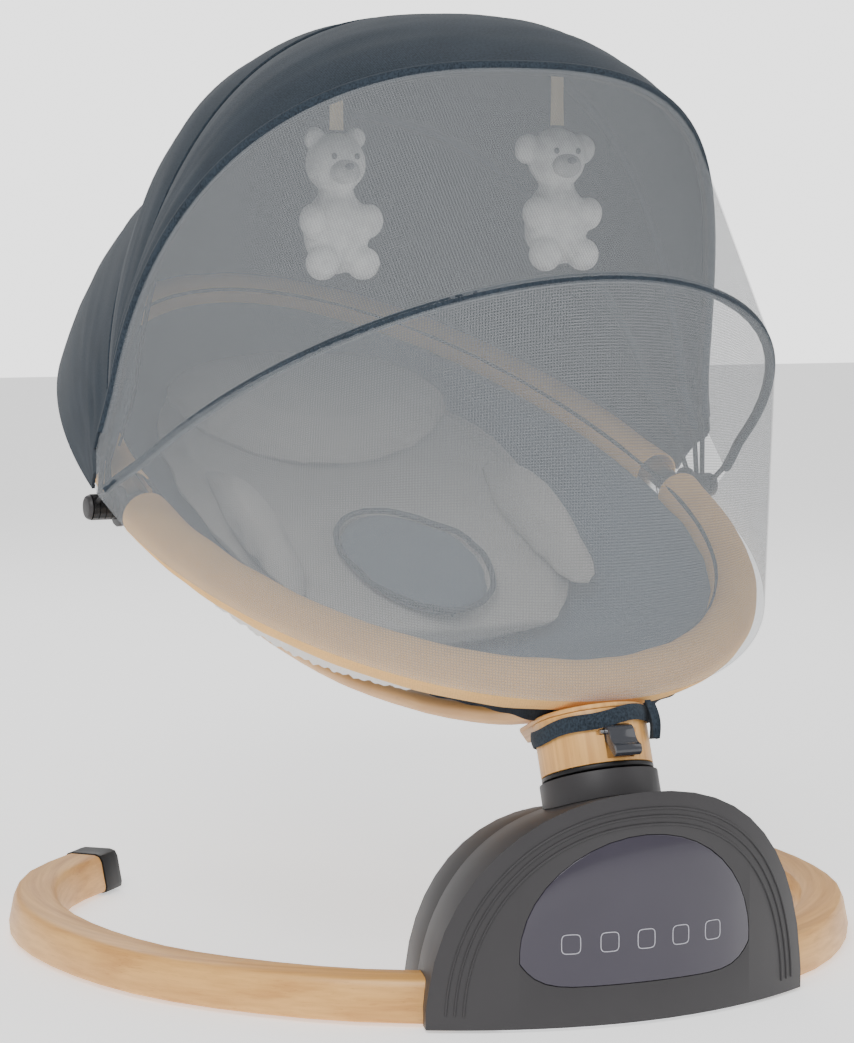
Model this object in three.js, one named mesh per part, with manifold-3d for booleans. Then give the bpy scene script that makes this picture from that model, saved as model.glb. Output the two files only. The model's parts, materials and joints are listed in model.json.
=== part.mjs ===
// Electric baby swing: a seat with a folding canopy and an insect net, hung on a
// back-leaning swing post over a C-shaped base with a motor housing at the front.
// Millimetres, +X to the sitter's left, -Y to the front, +Z up.
import * as THREE from 'three';
import { mergeVertices } from 'three/addons/utils/BufferGeometryUtils.js';
import Module from 'manifold-3d';

const wasm = await Module();
wasm.setup();

// ---------------------------------------------------------------- driving dimensions
const gap = 0.4;                    // air left between touching pieces
const floorGap = 2;                 // height of the rubber feet

// base ring
const armWidth = 40;
const armTopWidth = 29;
const armHeight = 28;
const armCornerRadius = 5;
const armStations = [                // angle from the front (deg), centre-line radius
  [19, 315], [35, 305], [60, 291], [90, 276], [115, 266], [136, 254],
];
const armCapLength = 24;
const armCapWall = 2.5;
const armTenonLength = 14;
const armTenonRoot = 4;               // how far the tenon is sunk into the wood
const armFootRadius = 9;
const capOverlap = 0.6;              // a cap stands this far outside the wood

// motor housing
const housingHalfWidth = 134;
const housingHeight = 146;
const housingRoundness = 2.2;        // exponent of the arch outline
const housingFaceY = -350;
const housingRearY = -222;
const housingRearScale = 0.8;
const housingBow = 250;              // radius of the bowed front face
const housingWall = 3;
const housingSplitY = -268;
const panelHalfWidth = 81;
const panelLow = 27;
const panelHigh = 119;
const panelShoulder = 20;            // height of the panel's straight sides
const panelCornerRise = 16;          // how far its lower corners are rounded upwards
const panelThickness = 2;
const housingSkirt = 14;             // least height of the arch outline, at its two ends
const plateThickness = 2.6;
const footRadius = 10;
const footPlaces = [[-80, -300], [80, -300], [-70, -236], [70, -236]];
const inletRadius = 6;
const inletX = 62;
const inletZ = 40;
const speakerRadius = 22;
const speakerPlace = [-88, -262, 44];

// swing post and drive
const axisLean = THREE.MathUtils.degToRad(20);
const postY = -285;
const postSink = 1;                   // top of the neck, below the housing's crown
const postZ = housingHeight - postSink;
const neckRadius = 38;
const neckHeight = 20;
const postRadius = 10;
const bearingRadius = 17;
const bearingWidth = 8;
const bearingCarrierWall = 5;
const bearingCarrierHeight = 34;
const runningGap = 0.5;
const spigotRadius = 21;
const spigotHeight = 30;
const gearModule = 1.5;
const gearTeeth = 36;
const pinionTeeth = 12;
const gearWidth = 8;
const gearDrop = 50;                 // gear face below the top of the neck, along the axis
const gearboxHeight = 20;
const gearboxSize = 34;
const motorRadius = 14;
const motorLength = 30;

// stem
const collarRadius = 36;
const collarHeight = 34;
const collarWall = 13;
const ringHeight = 3.4;
const platformThickness = 3;
const platformTail = 76;
const strapWidth = 6.6;
const strapRise = 7.2;                // strap's middle above the lever's top
const strapTilt = 2.6;
const strapThickness = 2;
const leverWidth = 18;
const leverHeight = 21;
const leverReach = 11;
const leverPinRadius = 1.5;
const leverSlotDepth = 6;
const latchRadius = 2.5;
const latchLength = 10;

// seat
const seatLean = THREE.MathUtils.degToRad(20);
const seatY = -4;
const seatRise = 159;                 // canopy pivots above the top of the neck
const seatZ = postZ + seatRise;
const rimHalfWidth = 208;
const rimFront = 293;
const rimRear = 405;
const rimTubeRadius = 11;
const rimTubeWall = 1.5;
const rimSleeveRadius = 16;
const rimClearance = 2.5;             // between the sleeve and the bowl's or the fabric's edge
const bowlDepth = 88;
const bowlWall = 4;
const spineWidth = 46;
const spineThickness = 13;
const insertHalfWidth = 150;
const insertFront = -140;
const insertRear = 318;
const insertThickness = 34;
const cushionGap = 3;                // between cushions that lie on each other
const pillowHalfWidth = 122;
const pillowHalfLength = 78;
const pillowCentre = 205;
const pillowThickness = 40;
const wingHalfWidth = 26;
const wingHalfLength = 95;
const wingCentre = 18;
const wingInset = 12;                // from the insert's side edge
const wingThickness = 26;
const cushionEdge = 8;               // thickness of a cushion at its edge
const trimEdge = 5;                  // and of the thin ones
const padHalfWidth = 55;
const padHalfLength = 78;
const padThickness = 12;
const padCentre = -15;

// canopy: each bow is a loop through the two pivots
const pinRadius = 4;
const hubRadius = 9;
const hubThickness = 4;
const hubPitch = 4.5;
const pivotFlange = 14;
const pivotFlangeThickness = 5;
const bowRodRadius = 2;
const bowStraight = 16;              // a rod leaves its hub straight for this far
const bowBlend = 70;                 // and takes this far to reach its own width
const coverGap = 5;                  // fabric stands this far outside the rods
const coverThickness = 2.5;
const coverMargin = 0.055;           // share of a loop left open at each pivot
const coverEdge = 0.012;             // share of a cover left open at each loop
const netThickness = 1.5;
const rearPuff = 8;                  // how far each cover swells between its loops
const midPuff = 6;
const frontPuff = 2;
const taut = -1;                     // marks a net pulled straight between its loops
const bows = {                       // lean from the front horizon at the pivots and crown (deg)
  rear: { lean: [117, 117], halfWidth: rimHalfWidth + 6, height: 306, roundness: 2.2, stack: 0 },
  mid: { lean: [89, 89], halfWidth: rimHalfWidth + 10, height: 329, roundness: 2.3, stack: 1 },
  front: { lean: [88, 60], halfWidth: rimHalfWidth + 20, height: 336, roundness: 2.5, stack: 2 },
  net: { lean: [28, 28], halfWidth: rimHalfWidth + 23, height: 334, roundness: 2.0, stack: 3 },
};

// hanging toys
const toyX = [-75, 95];
const toyY = -40;
const toyRise = 308;                  // top of the ribbons above the canopy pivots
const toyTop = seatZ + toyRise;
const toyBodyRadius = 27;
const toyHeadRadius = 22;
const toyDrop = [52, 46];
const ribbonWidth = 7;
const ribbonThickness = 1;

// ---------------------------------------------------------------- materials
const finish = (color, roughness, metalness = 0) =>
  new THREE.MeshStandardMaterial({ color, roughness, metalness });
const oak = finish(0xd9b27c, 0.6);
const darkPlastic = finish(0x4d4b4b, 0.55);
const blackPlastic = finish(0x232325, 0.5);
const glossPlastic = finish(0x3a3b40, 0.2);
const panelGlass = finish(0x55505c, 0.1);
const steel = finish(0xb8babd, 0.35, 1);
const brass = finish(0xb99a54, 0.4, 1);
const board = finish(0x2f6b45, 0.6);
const rubber = finish(0x1c1c1e, 0.9);
const slate = finish(0x3e4853, 0.95);
const beige = finish(0xdebe8c, 0.9);
const liner = finish(0x788591, 0.95);
const insertCloth = finish(0xbebcb9, 0.95);
const netCloth = finish(0xc9cdd2, 0.9);
const plush = finish(0xeeeeec, 1);
const ribbonCloth = finish(0xd8c7a2, 0.9);

// ---------------------------------------------------------------- helpers
const rad = THREE.MathUtils.degToRad;
const vec = (x, y, z) => new THREE.Vector3(x, y, z);

function named(name, geometry, material) {
  const mesh = new THREE.Mesh(geometry, material);
  mesh.name = name;
  return mesh;
}

function toSolid(geometry) {
  const bare = geometry.clone();
  bare.deleteAttribute('normal');
  bare.deleteAttribute('uv');
  const merged = mergeVertices(bare, 1e-4);
  return new wasm.Manifold(new wasm.Mesh({
    numProp: 3,
    vertProperties: new Float32Array(merged.attributes.position.array),
    triVerts: new Uint32Array(merged.index.array),
  }));
}

function toGeometry(solid) {
  const mesh = solid.getMesh();
  const geometry = new THREE.BufferGeometry();
  geometry.setAttribute('position', new THREE.BufferAttribute(mesh.vertProperties, 3));
  geometry.setIndex(new THREE.BufferAttribute(mesh.triVerts, 1));
  geometry.computeVertexNormals();
  return geometry;
}

function join(...geometries) {
  return toGeometry(geometries.map(toSolid).reduce((all, next) => all.add(next)));
}

function cut(geometry, ...tools) {
  return toGeometry(tools.map(toSolid).reduce((all, next) => all.subtract(next), toSolid(geometry)));
}

// The biggest body of a solid that a cut has left in several.
function mainBody(geometry) {
  const bodies = toSolid(geometry).decompose();
  return toGeometry(bodies.reduce((best, body) => (body.volume() > best.volume() ? body : best)));
}

function common(geometry, tool) {
  return toGeometry(toSolid(geometry).intersect(toSolid(tool)));
}

// A box between two corners.
function block(low, high) {
  const box = new THREE.BoxGeometry(high.x - low.x, high.y - low.y, high.z - low.z);
  return box.translate((low.x + high.x) / 2, (low.y + high.y) / 2, (low.z + high.z) / 2);
}

// A round bar or tube along Z from z0 to z1.
function turned(radius, z0, z1, bore = 0, segments = 24) {
  const outline = [[bore, z0], [radius, z0], [radius, z1], [bore, z1]];
  if (bore > 0) outline.push([bore, z0]);
  const points = outline.map(([r, z]) => new THREE.Vector2(r, z));
  return new THREE.LatheGeometry(points, segments).rotateX(Math.PI / 2);
}

// A closed wall between two surfaces that share the parameters u and v.
function wall(uSteps, vSteps, outer, inner) {
  const positions = [];
  const index = [];
  const row = vSteps + 1;
  const side = row * (uSteps + 1);
  for (const surface of [outer, inner]) {
    for (let i = 0; i <= uSteps; i++) {
      for (let j = 0; j <= vSteps; j++) positions.push(...surface(i / uSteps, j / vSteps).toArray());
    }
  }
  const quad = (a, b, c, d) => index.push(a, b, c, a, c, d);
  for (let i = 0; i < uSteps; i++) {
    for (let j = 0; j < vSteps; j++) {
      const a = i * row + j;
      quad(a, a + row, a + row + 1, a + 1);
      quad(side + a, side + a + 1, side + a + row + 1, side + a + row);
    }
  }
  for (let i = 0; i < uSteps; i++) {
    const a = i * row;
    const b = a + vSteps;
    quad(a, side + a, side + a + row, a + row);
    quad(b, b + row, side + b + row, side + b);
  }
  for (let j = 0; j < vSteps; j++) {
    const b = uSteps * row + j;
    quad(j, j + 1, side + j + 1, side + j);
    quad(b, side + b, side + b + 1, b + 1);
  }
  return outward(positions, index);
}

// A closed pad between an upper and a lower surface in polar parameters r and a.
function pad(rings, sectors, upper, lower) {
  const positions = [...upper(0, 0).toArray(), ...lower(0, 0).toArray()];
  const index = [];
  for (const surface of [upper, lower]) {
    for (let i = 1; i <= rings; i++) {
      for (let j = 0; j < sectors; j++) {
        positions.push(...surface(i / rings, (j / sectors) * 2 * Math.PI).toArray());
      }
    }
  }
  const at = (layer, ring, j) => 2 + (layer * rings + ring - 1) * sectors + (j % sectors);
  for (let j = 0; j < sectors; j++) {
    index.push(0, at(0, 1, j), at(0, 1, j + 1), 1, at(1, 1, j + 1), at(1, 1, j));
    for (let i = 1; i < rings; i++) {
      index.push(at(0, i, j), at(0, i + 1, j), at(0, i + 1, j + 1));
      index.push(at(0, i, j), at(0, i + 1, j + 1), at(0, i, j + 1));
      index.push(at(1, i, j), at(1, i + 1, j + 1), at(1, i + 1, j));
      index.push(at(1, i, j), at(1, i, j + 1), at(1, i + 1, j + 1));
    }
    index.push(at(0, rings, j), at(1, rings, j), at(1, rings, j + 1));
    index.push(at(0, rings, j), at(1, rings, j + 1), at(0, rings, j + 1));
  }
  return outward(positions, index);
}

// Builds the geometry and turns it the right way out.
function outward(positions, index) {
  let volume = 0;
  const a = new THREE.Vector3();
  const b = new THREE.Vector3();
  const c = new THREE.Vector3();
  for (let i = 0; i < index.length; i += 3) {
    a.fromArray(positions, index[i] * 3);
    b.fromArray(positions, index[i + 1] * 3);
    c.fromArray(positions, index[i + 2] * 3);
    volume += a.dot(b.cross(c));
  }
  const geometry = new THREE.BufferGeometry();
  geometry.setAttribute('position', new THREE.Float32BufferAttribute(positions, 3));
  geometry.setIndex(volume < 0 ? index.reverse() : index);
  geometry.computeVertexNormals();
  return geometry;
}

class Path extends THREE.Curve {
  constructor(point) {
    super();
    this.point = point;
  }

  getPoint(t, target = new THREE.Vector3()) {
    return target.copy(this.point(t));
  }
}

// A solid or hollow round section swept along a path.
function sweep(path, radius, steps, sides, bore = 0, boreSides = 8) {
  const section = new THREE.Shape(circle(radius, sides));
  if (bore > 0) section.holes.push(new THREE.Path(circle(bore, boreSides).reverse()));
  return new THREE.ExtrudeGeometry(section, { steps, extrudePath: path, bevelEnabled: false });
}

function circle(radius, sides) {
  return Array.from({ length: sides }, (_, i) => {
    const a = (2 * Math.PI * i) / sides;
    return new THREE.Vector2(radius * Math.cos(a), radius * Math.sin(a));
  });
}

// ---------------------------------------------------------------- base ring
// Point on an arm's centre line; side is -1 or 1 and t runs from the housing to the end.
function armCurve(side) {
  const points = armStations.map(([angle, radius]) =>
    vec(side * radius * Math.sin(rad(angle)), -radius * Math.cos(rad(angle)), 0));
  return new THREE.CatmullRomCurve3(points);
}

// Stretch of an arm between two fractions of its length.
function armStretch(side, from, to) {
  const curve = armCurve(side);
  return new Path((t) => curve.getPointAt(from + (to - from) * t));
}

// Arm section: a rounded trapezoid, grown outwards by extra.
function armSection(extra) {
  const half = armWidth / 2 + extra;
  const top = armTopWidth / 2 + extra;
  const low = floorGap - extra;
  const high = floorGap + armHeight + extra;
  const r = armCornerRadius;
  const shape = new THREE.Shape();
  shape.moveTo(-low, -half + r);
  shape.lineTo(-low, half - r);
  shape.quadraticCurveTo(-low, half, -low - r, half - r * 0.2);
  shape.lineTo(-high + r, top + r * 0.2);
  shape.quadraticCurveTo(-high, top, -high, top - r);
  shape.lineTo(-high, -top + r);
  shape.quadraticCurveTo(-high, -top, -high + r, -top - r * 0.2);
  shape.lineTo(-low - r, -half + r * 0.2);
  shape.quadraticCurveTo(-low, -half, -low, -half + r);
  return shape;
}

function armSweep(side, from, to, extra, steps) {
  return new THREE.ExtrudeGeometry(armSection(extra), {
    steps, curveSegments: 2, extrudePath: armStretch(side, from, to), bevelEnabled: false,
  });
}

const armLength = armCurve(1).getLength();
const capStart = 1 - armCapLength / armLength;

// The wooden stretch of an arm, grown outwards by extra.
const armTube = (side, extra) => armSweep(side, 0, capStart, extra, 18);

function baseArm(label, side) {
  const length = armLength;
  const tenonEnd = capStart + armTenonLength / length;
  const tube = armTube(side, 0);
  const tenonStart = capStart - armTenonRoot / length;
  const tenon = armSweep(side, tenonStart, tenonEnd, -armCapWall - gap, 2);
  const cap = cut(
    armSweep(side, capStart + gap / length, 1, capOverlap, 4),
    armSweep(side, tenonStart, tenonEnd + gap / length, -armCapWall, 2),
  );
  const footAt = armCurve(side).getPointAt(capStart - 0.06);
  const foot = turned(armFootRadius, 0, floorGap - gap, 0, 16).translate(footAt.x, footAt.y, 0);
  return [
    named(`base_tube_${label}`, join(tube, tenon), oak),
    named(`end_cap_${label}`, cap, blackPlastic),
    named(`arm_foot_${label}`, foot, rubber),
  ];
}

// ---------------------------------------------------------------- motor housing
function archHeight(x, halfWidth, height) {
  const share = 1 - Math.abs(x / halfWidth) ** housingRoundness;
  return Math.max(height * share ** (1 / housingRoundness), housingSkirt);
}

const faceY = (x) => housingFaceY + (x * x) / (2 * housingBow);

// The arch-shaped body, shrunk on every side by inset.
function housingBody(inset, low) {
  const half = housingHalfWidth - inset;
  const column = (u) => -half * Math.cos(Math.PI * u);
  const high = (x) => archHeight(x, half + 1e-3, housingHeight - inset);
  const front = (u, v) => {
    const x = column(u);
    return vec(x, faceY(x) + inset, low + (high(x) - low) * v);
  };
  const rear = (u, v) => {
    const x = column(u);
    const z = low + (high(x) * housingRearScale - low) * v;
    return vec(x * housingRearScale, housingRearY - inset, z);
  };
  return wall(24, 2, front, rear);
}

// The glass panel's outline as a wall that follows the bowed face.
function panelBody(extra, y0, y1) {
  const half = panelHalfWidth + extra;
  const column = (u) => -half * Math.cos(Math.PI * u);
  const crown = panelHigh - panelLow - panelShoulder + extra;
  const low = (x) => panelLow - extra + panelCornerRise * Math.abs(x / half) ** 8;
  const high = (x) => panelLow + panelShoulder + crown * Math.sqrt(1 - (x / (half + 0.1)) ** 2);
  const layer = (offset) => (u, v) => {
    const x = column(u);
    return vec(x, faceY(x) + offset, low(x) + (high(x) - low(x)) * v);
  };
  return wall(20, 2, layer(y0), layer(y1));
}

// Frame of the swing post: origin at the top of the neck, Z along the axis.
function postFrame() {
  const frame = new THREE.Group();
  frame.position.set(0, postY, postZ);
  frame.rotation.x = -axisLean;
  return frame;
}

const toPost = (geometry) => geometry.applyMatrix4(
  new THREE.Matrix4().makeTranslation(0, postY, postZ)
    .multiply(new THREE.Matrix4().makeRotationX(-axisLean)),
);

function housing() {
  const reach = 400;
  const shell = cut(
    housingBody(0, floorGap),
    housingBody(housingWall, -10),
    toPost(turned(neckRadius - 6, -neckHeight - 60, 60)),
    panelBody(gap, -10, panelThickness + gap),
    ...[-1, 1].map((side) => armTube(side, gap)),
  );
  const inletHole = turned(inletRadius + gap, -20, 20, 0, 16).rotateX(Math.PI / 2)
    .translate(inletX, housingRearY, inletZ);
  const front = common(shell, block(vec(-reach, -reach, -10), vec(reach, housingSplitY - gap / 2, 300)));
  const rear = cut(
    common(shell, block(vec(-reach, housingSplitY + gap / 2, -10), vec(reach, 0, 300))),
    inletHole,
  );
  return [
    named('housing_front', mainBody(front), darkPlastic),
    named('housing_rear', rear, darkPlastic),
    named('touch_panel', panelBody(0, 0, panelThickness), panelGlass),
  ];
}

function housingInside() {
  const inset = housingWall + gap;
  const half = housingHalfWidth * housingRearScale - inset - housingSkirt;
  const plate = wall(
    12, 1,
    (u, v) => platePoint(u, v, half, inset, floorGap + gap),
    (u, v) => platePoint(u, v, half, inset, floorGap + gap + plateThickness),
  );
  const feet = footPlaces.map(([x, y], i) =>
    named(`housing_foot_${i + 1}`, turned(footRadius, 0, floorGap, 0, 16).translate(x, y, 0), rubber));
  const boardY = housingFaceY + 22;
  const circuit = block(vec(-58, boardY, 30), vec(58, boardY + 1.6, 78));
  const speaker = turned(speakerRadius, -6, 6).rotateY(Math.PI / 2).translate(...speakerPlace);
  const inlet = turned(inletRadius, -16, 2, 2.4, 16).rotateX(-Math.PI / 2)
    .translate(inletX, housingRearY, inletZ);
  return [
    named('base_plate', plate, steel),
    ...feet,
    named('control_board', circuit, board),
    named('speaker', speaker, blackPlastic),
    named('power_inlet', inlet, blackPlastic),
  ];
}

// The plate under the housing follows the bowed face and stops short of the arms.
function platePoint(u, v, half, inset, z) {
  const x = -half * Math.cos(Math.PI * u);
  const front = faceY(x) + inset;
  const rear = housingRearY - inset;
  return vec(x, front + (rear - front) * v, z);
}

// ---------------------------------------------------------------- swing post and drive
function gearBlank(teeth, bore, turn) {
  const pitch = (gearModule * teeth) / 2;
  const root = pitch - 1.2 * gearModule;
  const tip = pitch + 0.9 * gearModule;
  const step = (2 * Math.PI) / teeth;
  const points = [];
  for (let i = 0; i < teeth; i++) {
    for (const [radius, share] of [[root, -0.3], [tip, -0.12], [tip, 0.12], [root, 0.3]]) {
      const a = turn + (i + share) * step;
      points.push(new THREE.Vector2(radius * Math.cos(a), radius * Math.sin(a)));
    }
  }
  const shape = new THREE.Shape(points);
  if (bore > 0) shape.holes.push(new THREE.Path(circle(bore, 18).reverse()));
  return new THREE.ExtrudeGeometry(shape, { depth: gearWidth, bevelEnabled: false })
    .translate(0, 0, -gearDrop);
}

function drive() {
  const frame = postFrame();
  const centres = (gearModule * (gearTeeth + pinionTeeth)) / 2;
  const neck = turned(neckRadius, -neckHeight, -1, neckRadius - 7, 36);
  const neckFoot = cut(neck, toPostLocal(housingBody(-gap, floorGap)));
  const carrierTop = -4;
  const carrierLow = carrierTop - bearingCarrierHeight;
  const carrier = turned(bearingRadius + bearingCarrierWall, carrierLow, carrierTop, bearingRadius + gap, 28);
  const bearing = (z) => turned(bearingRadius, z, z + bearingWidth, postRadius + gap, 28);
  const shaftLow = -gearDrop - 4;
  const outline = [
    [0, shaftLow], [postRadius, shaftLow], [postRadius, 0.5],
    [spigotRadius, 0.5], [spigotRadius, spigotHeight - 2], [spigotRadius - 2, spigotHeight],
    [0, spigotHeight],
  ].map(([r, z]) => new THREE.Vector2(r, z));
  const post = new THREE.LatheGeometry(outline, 28).rotateX(Math.PI / 2);
  const ring = turned(collarRadius, 0.4, ringHeight, spigotRadius + gap, 36);
  const pinion = gearBlank(pinionTeeth, 0, Math.PI / pinionTeeth).translate(0, centres, 0);
  const boxTop = -gearDrop - gap;
  const gearbox = block(
    vec(-gearboxSize / 2, centres - gearboxSize / 2 + 9, boxTop - gearboxHeight),
    vec(gearboxSize / 2, centres + gearboxSize / 2 - 3, boxTop),
  );
  const motorTop = boxTop - gearboxHeight - gap;
  const motor = turned(motorRadius, motorTop - motorLength, motorTop, 0, 24).translate(0, centres + 3, 0);
  frame.add(
    named('neck_cowl', neckFoot, darkPlastic),
    named('bearing_carrier', carrier, blackPlastic),
    named('bearing_upper', bearing(carrierTop - bearingWidth - 1), steel),
    named('bearing_lower', bearing(carrierLow + 1), steel),
    named('swing_post', post, steel),
    named('post_ring', ring, blackPlastic),
    named('drive_gear', gearBlank(gearTeeth, postRadius + gap, 0), steel),
    named('pinion_gear', pinion, brass),
    named('gearbox', gearbox, blackPlastic),
    named('drive_motor', motor, steel),
  );
  return frame;
}

function toPostLocal(geometry) {
  const world = new THREE.Matrix4().makeTranslation(0, postY, postZ)
    .multiply(new THREE.Matrix4().makeRotationX(-axisLean));
  return geometry.applyMatrix4(world.invert());
}

// ---------------------------------------------------------------- stem of the seat
function stem() {
  const frame = postFrame();
  const low = ringHeight + gap;
  const high = low + collarHeight;
  const bore = collarRadius - collarWall;
  const latchZ = low + 12;
  const leverFront = -collarRadius;
  const pinZ = low + leverHeight - 2;
  const leverSlot = block(
    vec(-leverWidth / 2 - gap, leverFront - 5, low + 2),
    vec(leverWidth / 2 + gap, leverFront + leverSlotDepth, low + leverHeight + 2),
  );
  const latchBore = turned(latchRadius + runningGap, -30, 30, 0, 16).rotateX(Math.PI / 2)
    .translate(0, leverFront + 6, latchZ);
  const pinBore = turned(leverPinRadius + gap, -14, 14, 0, 12).rotateY(Math.PI / 2)
    .translate(0, leverFront + 2, pinZ);
  const collar = cut(turned(collarRadius, low, high, bore, 40), leverSlot, latchBore, pinBore);
  const platform = new THREE.Shape();
  platform.absarc(0, 0, collarRadius, Math.PI, 2 * Math.PI);
  platform.lineTo(collarRadius - 4, collarRadius);
  platform.lineTo(8, platformTail);
  platform.lineTo(-8, platformTail);
  platform.lineTo(-collarRadius + 4, collarRadius);
  const plate = new THREE.ExtrudeGeometry(platform, {
    depth: platformThickness, curveSegments: 16, bevelEnabled: false,
  }).translate(0, 0, high + gap);
  frame.add(
    named('stem_collar', collar, oak),
    named('stem_platform', plate, oak),
    named('stem_strap', stemStrap(low), slate),
    named('release_lever', releaseLever(leverFront, low, pinZ), glossPlastic),
    named('lever_pin', turned(leverPinRadius, -12, 12, 0, 10).rotateY(Math.PI / 2)
      .translate(0, leverFront + 2, pinZ), steel),
    named('latch_bolt', turned(latchRadius, 0, latchLength, 0, 16).rotateX(-Math.PI / 2)
      .translate(0, leverFront + collarWall - latchLength + 1.2, latchZ), steel),
  );
  return frame;
}

// Fabric tie that runs round the stem above the lever, higher on the right.
function stemStrap(low) {
  const layer = (radius) => (u, v) => {
    const a = rad(-140 + 275 * u);
    const z = low + leverHeight + strapRise + strapTilt * Math.sin(a) + (v - 0.5) * strapWidth;
    return vec(radius * Math.sin(a), -radius * Math.cos(a), z);
  };
  return wall(28, 1, layer(collarRadius + gap + strapThickness), layer(collarRadius + gap));
}

// Thumb lever: a hooked side profile given a width, bored for its pin.
function releaseLever(frontY, low, pinZ) {
  const foot = low + 1.5;
  const profile = new THREE.Shape();
  profile.moveTo(frontY + 4, pinZ + 3);
  profile.quadraticCurveTo(frontY - 3, pinZ + 5, frontY - 5, pinZ - 1);
  profile.quadraticCurveTo(frontY - 5, pinZ - 9, frontY - leverReach, foot + 6);
  profile.quadraticCurveTo(frontY - leverReach - 1, foot, frontY - leverReach + 4, foot);
  profile.quadraticCurveTo(frontY - 1, foot + 6, frontY - 0.8, foot + 9);
  profile.lineTo(frontY + 3, foot + 12);
  const body = new THREE.ExtrudeGeometry(profile, {
    depth: leverWidth, curveSegments: 4, bevelEnabled: false,
  });
  // The profile is drawn in Y and Z and thickened along X.
  const toSide = new THREE.Matrix4().makeBasis(vec(0, 1, 0), vec(0, 0, 1), vec(1, 0, 0));
  body.applyMatrix4(toSide).translate(-leverWidth / 2, 0, 0);
  const bore = turned(leverPinRadius + 0.3, -20, 20, 0, 12).rotateY(Math.PI / 2)
    .translate(0, frontY + 2, pinZ);
  return cut(body, bore);
}

// ---------------------------------------------------------------- seat
// Frame of the seat: origin at the canopy pivots' line, Y along the leaning seat to the back.
function seatFrame() {
  const frame = new THREE.Group();
  frame.position.set(0, seatY, seatZ);
  frame.rotation.x = seatLean;
  return frame;
}

const rimReach = (a) => (Math.sin(a) < 0 ? rimFront : rimRear);

// Point inside the rim at a share of its radius; a is 0 on +X and 90 degrees at the back.
const rimPoint = (a, share, inset, z) => vec(
  share * (rimHalfWidth - inset) * Math.cos(a),
  share * (rimReach(a) - inset) * Math.sin(a),
  z,
);

// Half of the rim's centre line between the pivots: end is -1 at the front, 1 at the back.
const rimHalf = (end, trim) => new Path((t) => {
  const a = end * (trim + (Math.PI - 2 * trim) * t);
  return rimPoint(a, 1, 0, 0);
});

const bowlFloor = (share) => -bowlDepth * (1 - share ** 2.4);

const bowlInset = rimSleeveRadius + rimClearance;

function seat() {
  const frame = seatFrame();
  const tubeTrim = 0.004;
  const sleeveTrim = (pivotFlange + 3) / rimFront;
  for (const [label, end] of [['front', -1], ['rear', 1]]) {
    const steps = end < 0 ? 24 : 30;
    frame.add(
      named(
        `rim_tube_${label}`,
        sweep(rimHalf(end, tubeTrim), rimTubeRadius, steps, 8, rimTubeRadius - rimTubeWall),
        steel,
      ),
      named(
        `rim_sleeve_${label}`,
        sweep(rimHalf(end, sleeveTrim), rimSleeveRadius, steps, 10, rimTubeRadius + 0.8, 8),
        beige,
      ),
    );
  }
  const bowl = pad(
    5, 28,
    (r, a) => rimPoint(a, r, bowlInset, bowlFloor(r)),
    (r, a) => rimPoint(a, r, bowlInset, bowlFloor(r) - bowlWall),
  );
  frame.add(
    named('seat_bowl', bowl, liner),
    named('seat_insert', seatInsert(), insertCloth),
    named('head_pillow', headPillow(), insertCloth),
    named('side_wing_left', sideWing(1), insertCloth),
    named('side_wing_right', sideWing(-1), insertCloth),
    named('waist_pad', waistPad(), liner),
  );
  return frame;
}

// Height of the bowl's inner surface above the rim plane at a point of the seat.
function bowlAt(x, y) {
  const reach = (y < 0 ? rimFront : rimRear) - bowlInset;
  const share = Math.hypot(x / (rimHalfWidth - bowlInset), y / reach);
  return bowlFloor(Math.min(share, 1));
}

function cushion(rings, sectors, cx, cy, halfWidth, halfLength, lower, upper) {
  const place = (height) => (r, a) => {
    const x = cx + halfWidth * r * Math.cos(a);
    const y = cy + halfLength * r * Math.sin(a);
    return vec(x, y, height(x, y, r));
  };
  return pad(rings, sectors, place(upper), place(lower));
}

// Height of a domed cushion over its support: flat in the middle, thin at the edge.
const domed = (thickness, edge, r) => edge + (thickness - edge) * (1 - r ** 3);

const insertTop = (x, y) => {
  const cy = (insertFront + insertRear) / 2;
  const r = Math.hypot(x / insertHalfWidth, (y - cy) / ((insertRear - insertFront) / 2));
  return bowlAt(x, y) + cushionGap + domed(insertThickness, cushionEdge, Math.min(r, 1));
};

function seatInsert() {
  const cy = (insertFront + insertRear) / 2;
  return cushion(
    4, 24, 0, cy, insertHalfWidth, (insertRear - insertFront) / 2,
    (x, y) => bowlAt(x, y) + cushionGap,
    insertTop,
  );
}

function headPillow() {
  const base = (x, y) => insertTop(x, y) + cushionGap;
  return cushion(
    3, 20, 0, pillowCentre, pillowHalfWidth, pillowHalfLength,
    base, (x, y, r) => base(x, y) + domed(pillowThickness, cushionEdge, r),
  );
}

function sideWing(side) {
  const cx = side * (insertHalfWidth - wingHalfWidth - wingInset);
  const base = (x, y) => insertTop(x, y) + cushionGap;
  return cushion(
    2, 16, cx, wingCentre, wingHalfWidth, wingHalfLength,
    base, (x, y, r) => base(x, y) + domed(wingThickness, trimEdge, r),
  );
}

function waistPad() {
  const base = (x, y) => insertTop(x, y) + cushionGap;
  return cushion(
    3, 20, 0, padCentre, padHalfWidth, padHalfLength,
    base, (x, y, r) => base(x, y) + domed(padThickness, trimEdge, r),
  );
}

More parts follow.
